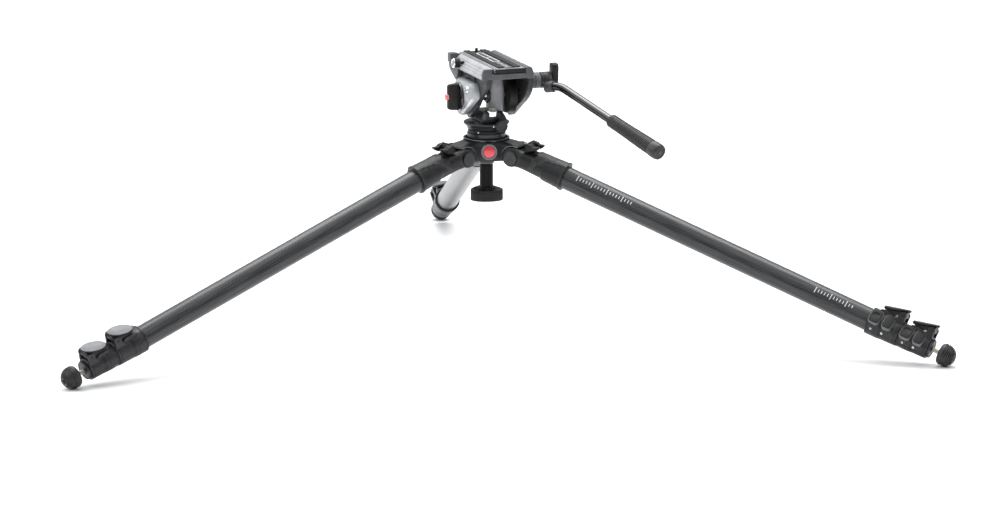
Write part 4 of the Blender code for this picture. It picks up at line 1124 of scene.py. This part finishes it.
def build_bar():
    """The pan bar: clamp on the rosette, bent gloss tube and ribbed grip."""
    inward = (BAR_BEND - BAR_START).normalized()
    outward = (BAR_END - BAR_BEND).normalized()
    drum = [(69.4, 3.2), (69.4, 10.8), (70, 11.8), (72.6, 12), (73, 11.4), (73.8, 11.4), (74.2, 12),
            (84.8, 12), (85.6, 11.5), (86, 10.6), (86, 3.2)]
    sleeve = aimed(lathe([(0, 8), (0.6, 8.6), (13.2, 8.6), (14, 7.9)], 48, "X"), BAR_START, inward)
    room = aimed(rod(2, 30, 6.8, 48, "X"), BAR_START, inward)
    add("bar_clamp_body", lathe(drum, 96, "X", loop=True, centre=ROSETTE), HEAD, "bar", PAINT_DARK,
            ["pan_bar_clamp"], joins=[sleeve], cuts=[room,
            rod(60, 90, 3.2, 32, "X", ROSETTE)], bevel=0.4)
    reach = 13
    path = [BAR_START - inward * -3] + bezier(BAR_BEND - inward * reach, BAR_BEND,
            BAR_BEND + outward * reach, 14)
    path += [BAR_BEND + outward * (reach + 12 * i) for i in range(1, 9)] + [BAR_END - outward * 4]
    add("bar_tube", sweep(path, 6.5, 48), HEAD, "bar", GLOSS, ["pan_bar"])
    grip = [(GRIP_LENGTH - 3, 0), (GRIP_LENGTH - 3, 6.8), (0, 6.8), (0, 8.6), (0.8, 9.6), (2.4, 10),
            (3.6, 9.6)]
    x = 5
    while x < 94:
        swell = 10 + 1.6 * smooth_step((x - 10) / 84)
        grip += [(x, swell - 0.7), (x + 0.6, swell), (x + 2, swell), (x + 2.6, swell - 0.7)]
        x += 3.4
    grip += [(95.5, 11.2), (96.5, 12), (107, 12), (110.5, 11), (111.6, 9.6), (GRIP_LENGTH, 8.2),
            (GRIP_LENGTH - 0.7, 7.8), (GRIP_LENGTH - 0.7, 4.6), (GRIP_LENGTH, 4.2), (GRIP_LENGTH, 0)]
    grip_tail = BAR_END - outward * GRIP_LENGTH
    add("bar_grip_ribbed", aimed(lathe(grip, 64, "X"), grip_tail, outward), HEAD, "bar", RUBBER,
            ["pan_bar_grip"])
    y, z = ROSETTE
    hub = lathe([(64, 2.8), (87, 2.8), (87, 6.4), (87.8, 7.2), (96.4, 7.2), (97, 6.4), (97, 0), (64, 0)],
            48, "X", centre=ROSETTE)
    tab = rounded([(y - 7.4, z), (y + 7.4, z), (y + 8.6, z + 19), (y + 6.4, z + 24), (y - 6.4, z + 24),
            (y - 8.6, z + 19)], 3, 5)
    grooves = []
    for i in range(7):
        for face in (87.7, 96.8):
            grooves.append(block((face - 0.5, y - 10, z + 8 + 2.1 * i),
                    (face + 0.5, y + 10, z + 8.9 + 2.1 * i)))
    add("wing_screw_stem", hub, HEAD, "wing", PLASTIC, ["pan_bar_wing_screw"])
    add("wing_screw_tab", prism(tab, 88, 96.5, "X"), HEAD, "wing", PLASTIC, cuts=grooves,
            bevel=0.7)


build_spider()
build_badge()
build_levelling()
build_base()
build_pan()
build_drum()
build_tilt_frame()
build_cover()
build_plate_controls()
build_plate()
build_bar()

for node, material in (("bowl_liner", PLASTIC), ("half_ball", DARK_STEEL)):
    kept = frame["nodes"][node]
    kept.data.materials.clear()
    kept.data.materials.append(material)


# ---------------------------------------------------------------- stage

def build_floor():
    """A plain pale floor."""
    shape = bmesh.new()
    half = 40
    corners = [shape.verts.new((x * half, y * half, 0)) for x, y in ((-1, -1), (1, -1), (1, 1), (-1, 1))]
    shape.faces.new(corners)
    mesh = bpy.data.meshes.new("floor")
    shape.to_mesh(mesh)
    shape.free()
    floor = linked("floor", mesh)
    paint = Paint("pale_floor", (0.94, 0.94, 0.945), 0.7, specular=0.2)
    mesh.materials.append(paint.material)


def build_light():
    """A soft white dome, a wide soft sun for even light on the floor, and softboxes for long highlights."""
    world = bpy.data.worlds.new("studio")
    bpy.context.scene.world = world
    world.use_nodes = True
    tree = world.node_tree
    background = tree.nodes["Background"]
    direction = tree.nodes.new("ShaderNodeTexCoord")
    split = tree.nodes.new("ShaderNodeSeparateXYZ")
    ramp = tree.nodes.new("ShaderNodeValToRGB")
    tree.links.new(direction.outputs["Generated"], split.inputs["Vector"])
    tree.links.new(split.outputs["Z"], ramp.inputs["Fac"])
    ramp.color_ramp.elements[0].position = 0.05
    ramp.color_ramp.elements[0].color = (0.11, 0.112, 0.115, 1)
    ramp.color_ramp.elements[1].position = 0.85
    ramp.color_ramp.elements[1].color = (0.97, 0.985, 1, 1)
    tree.links.new(ramp.outputs["Color"], background.inputs["Color"])
    background.inputs["Strength"].default_value = 0.95
    sun = bpy.data.lights.new("sun", "SUN")
    sun.energy = 1.5
    sun.angle = radians(110)
    made = linked("sun", sun)
    made.rotation_euler = (radians(-18), radians(-14), 0)
    boxes = (("top_box", (0.2, 0.7, 2.6), (2.4, 1.4), 60), ("left_box", (-2.4, -1.2, 1.7), (1.2, 1.8), 22),
            ("right_box", (2.6, -0.9, 1.5), (0.8, 1.6), 16))
    target = Vector((0, -0.15, 0.25))
    for name, place, size, power in boxes:
        light = bpy.data.lights.new(name, "AREA")
        light.shape = "RECTANGLE"
        light.size, light.size_y = size
        light.energy = power
        made = linked(name, light)
        made.location = place
        made.rotation_euler = (target - Vector(place)).to_track_quat("-Z", "Y").to_euler()


def build_camera():
    """A long lens in front of the hub, a little above it."""
    swing = Matrix.Rotation(radians(-5.95), 4, "Z")
    place = swing @ Vector((0, -6.796, 1.607)) + hub_point
    data = bpy.data.cameras.new("camera")
    data.lens = 168.3
    data.sensor_width = 36
    data.clip_end = 200
    camera = linked("camera", data)
    aim = Matrix.Rotation(radians(-0.17), 4, "Z") @ Matrix.Rotation(radians(90 - 12.51), 4, "X")
    camera.matrix_world = Matrix.Translation(place) @ swing @ aim
    bpy.context.scene.camera = camera


build_floor()
build_light()
build_camera()
bpy.context.scene.view_settings.view_transform = "Standard"

bpy.context.view_layer.update()
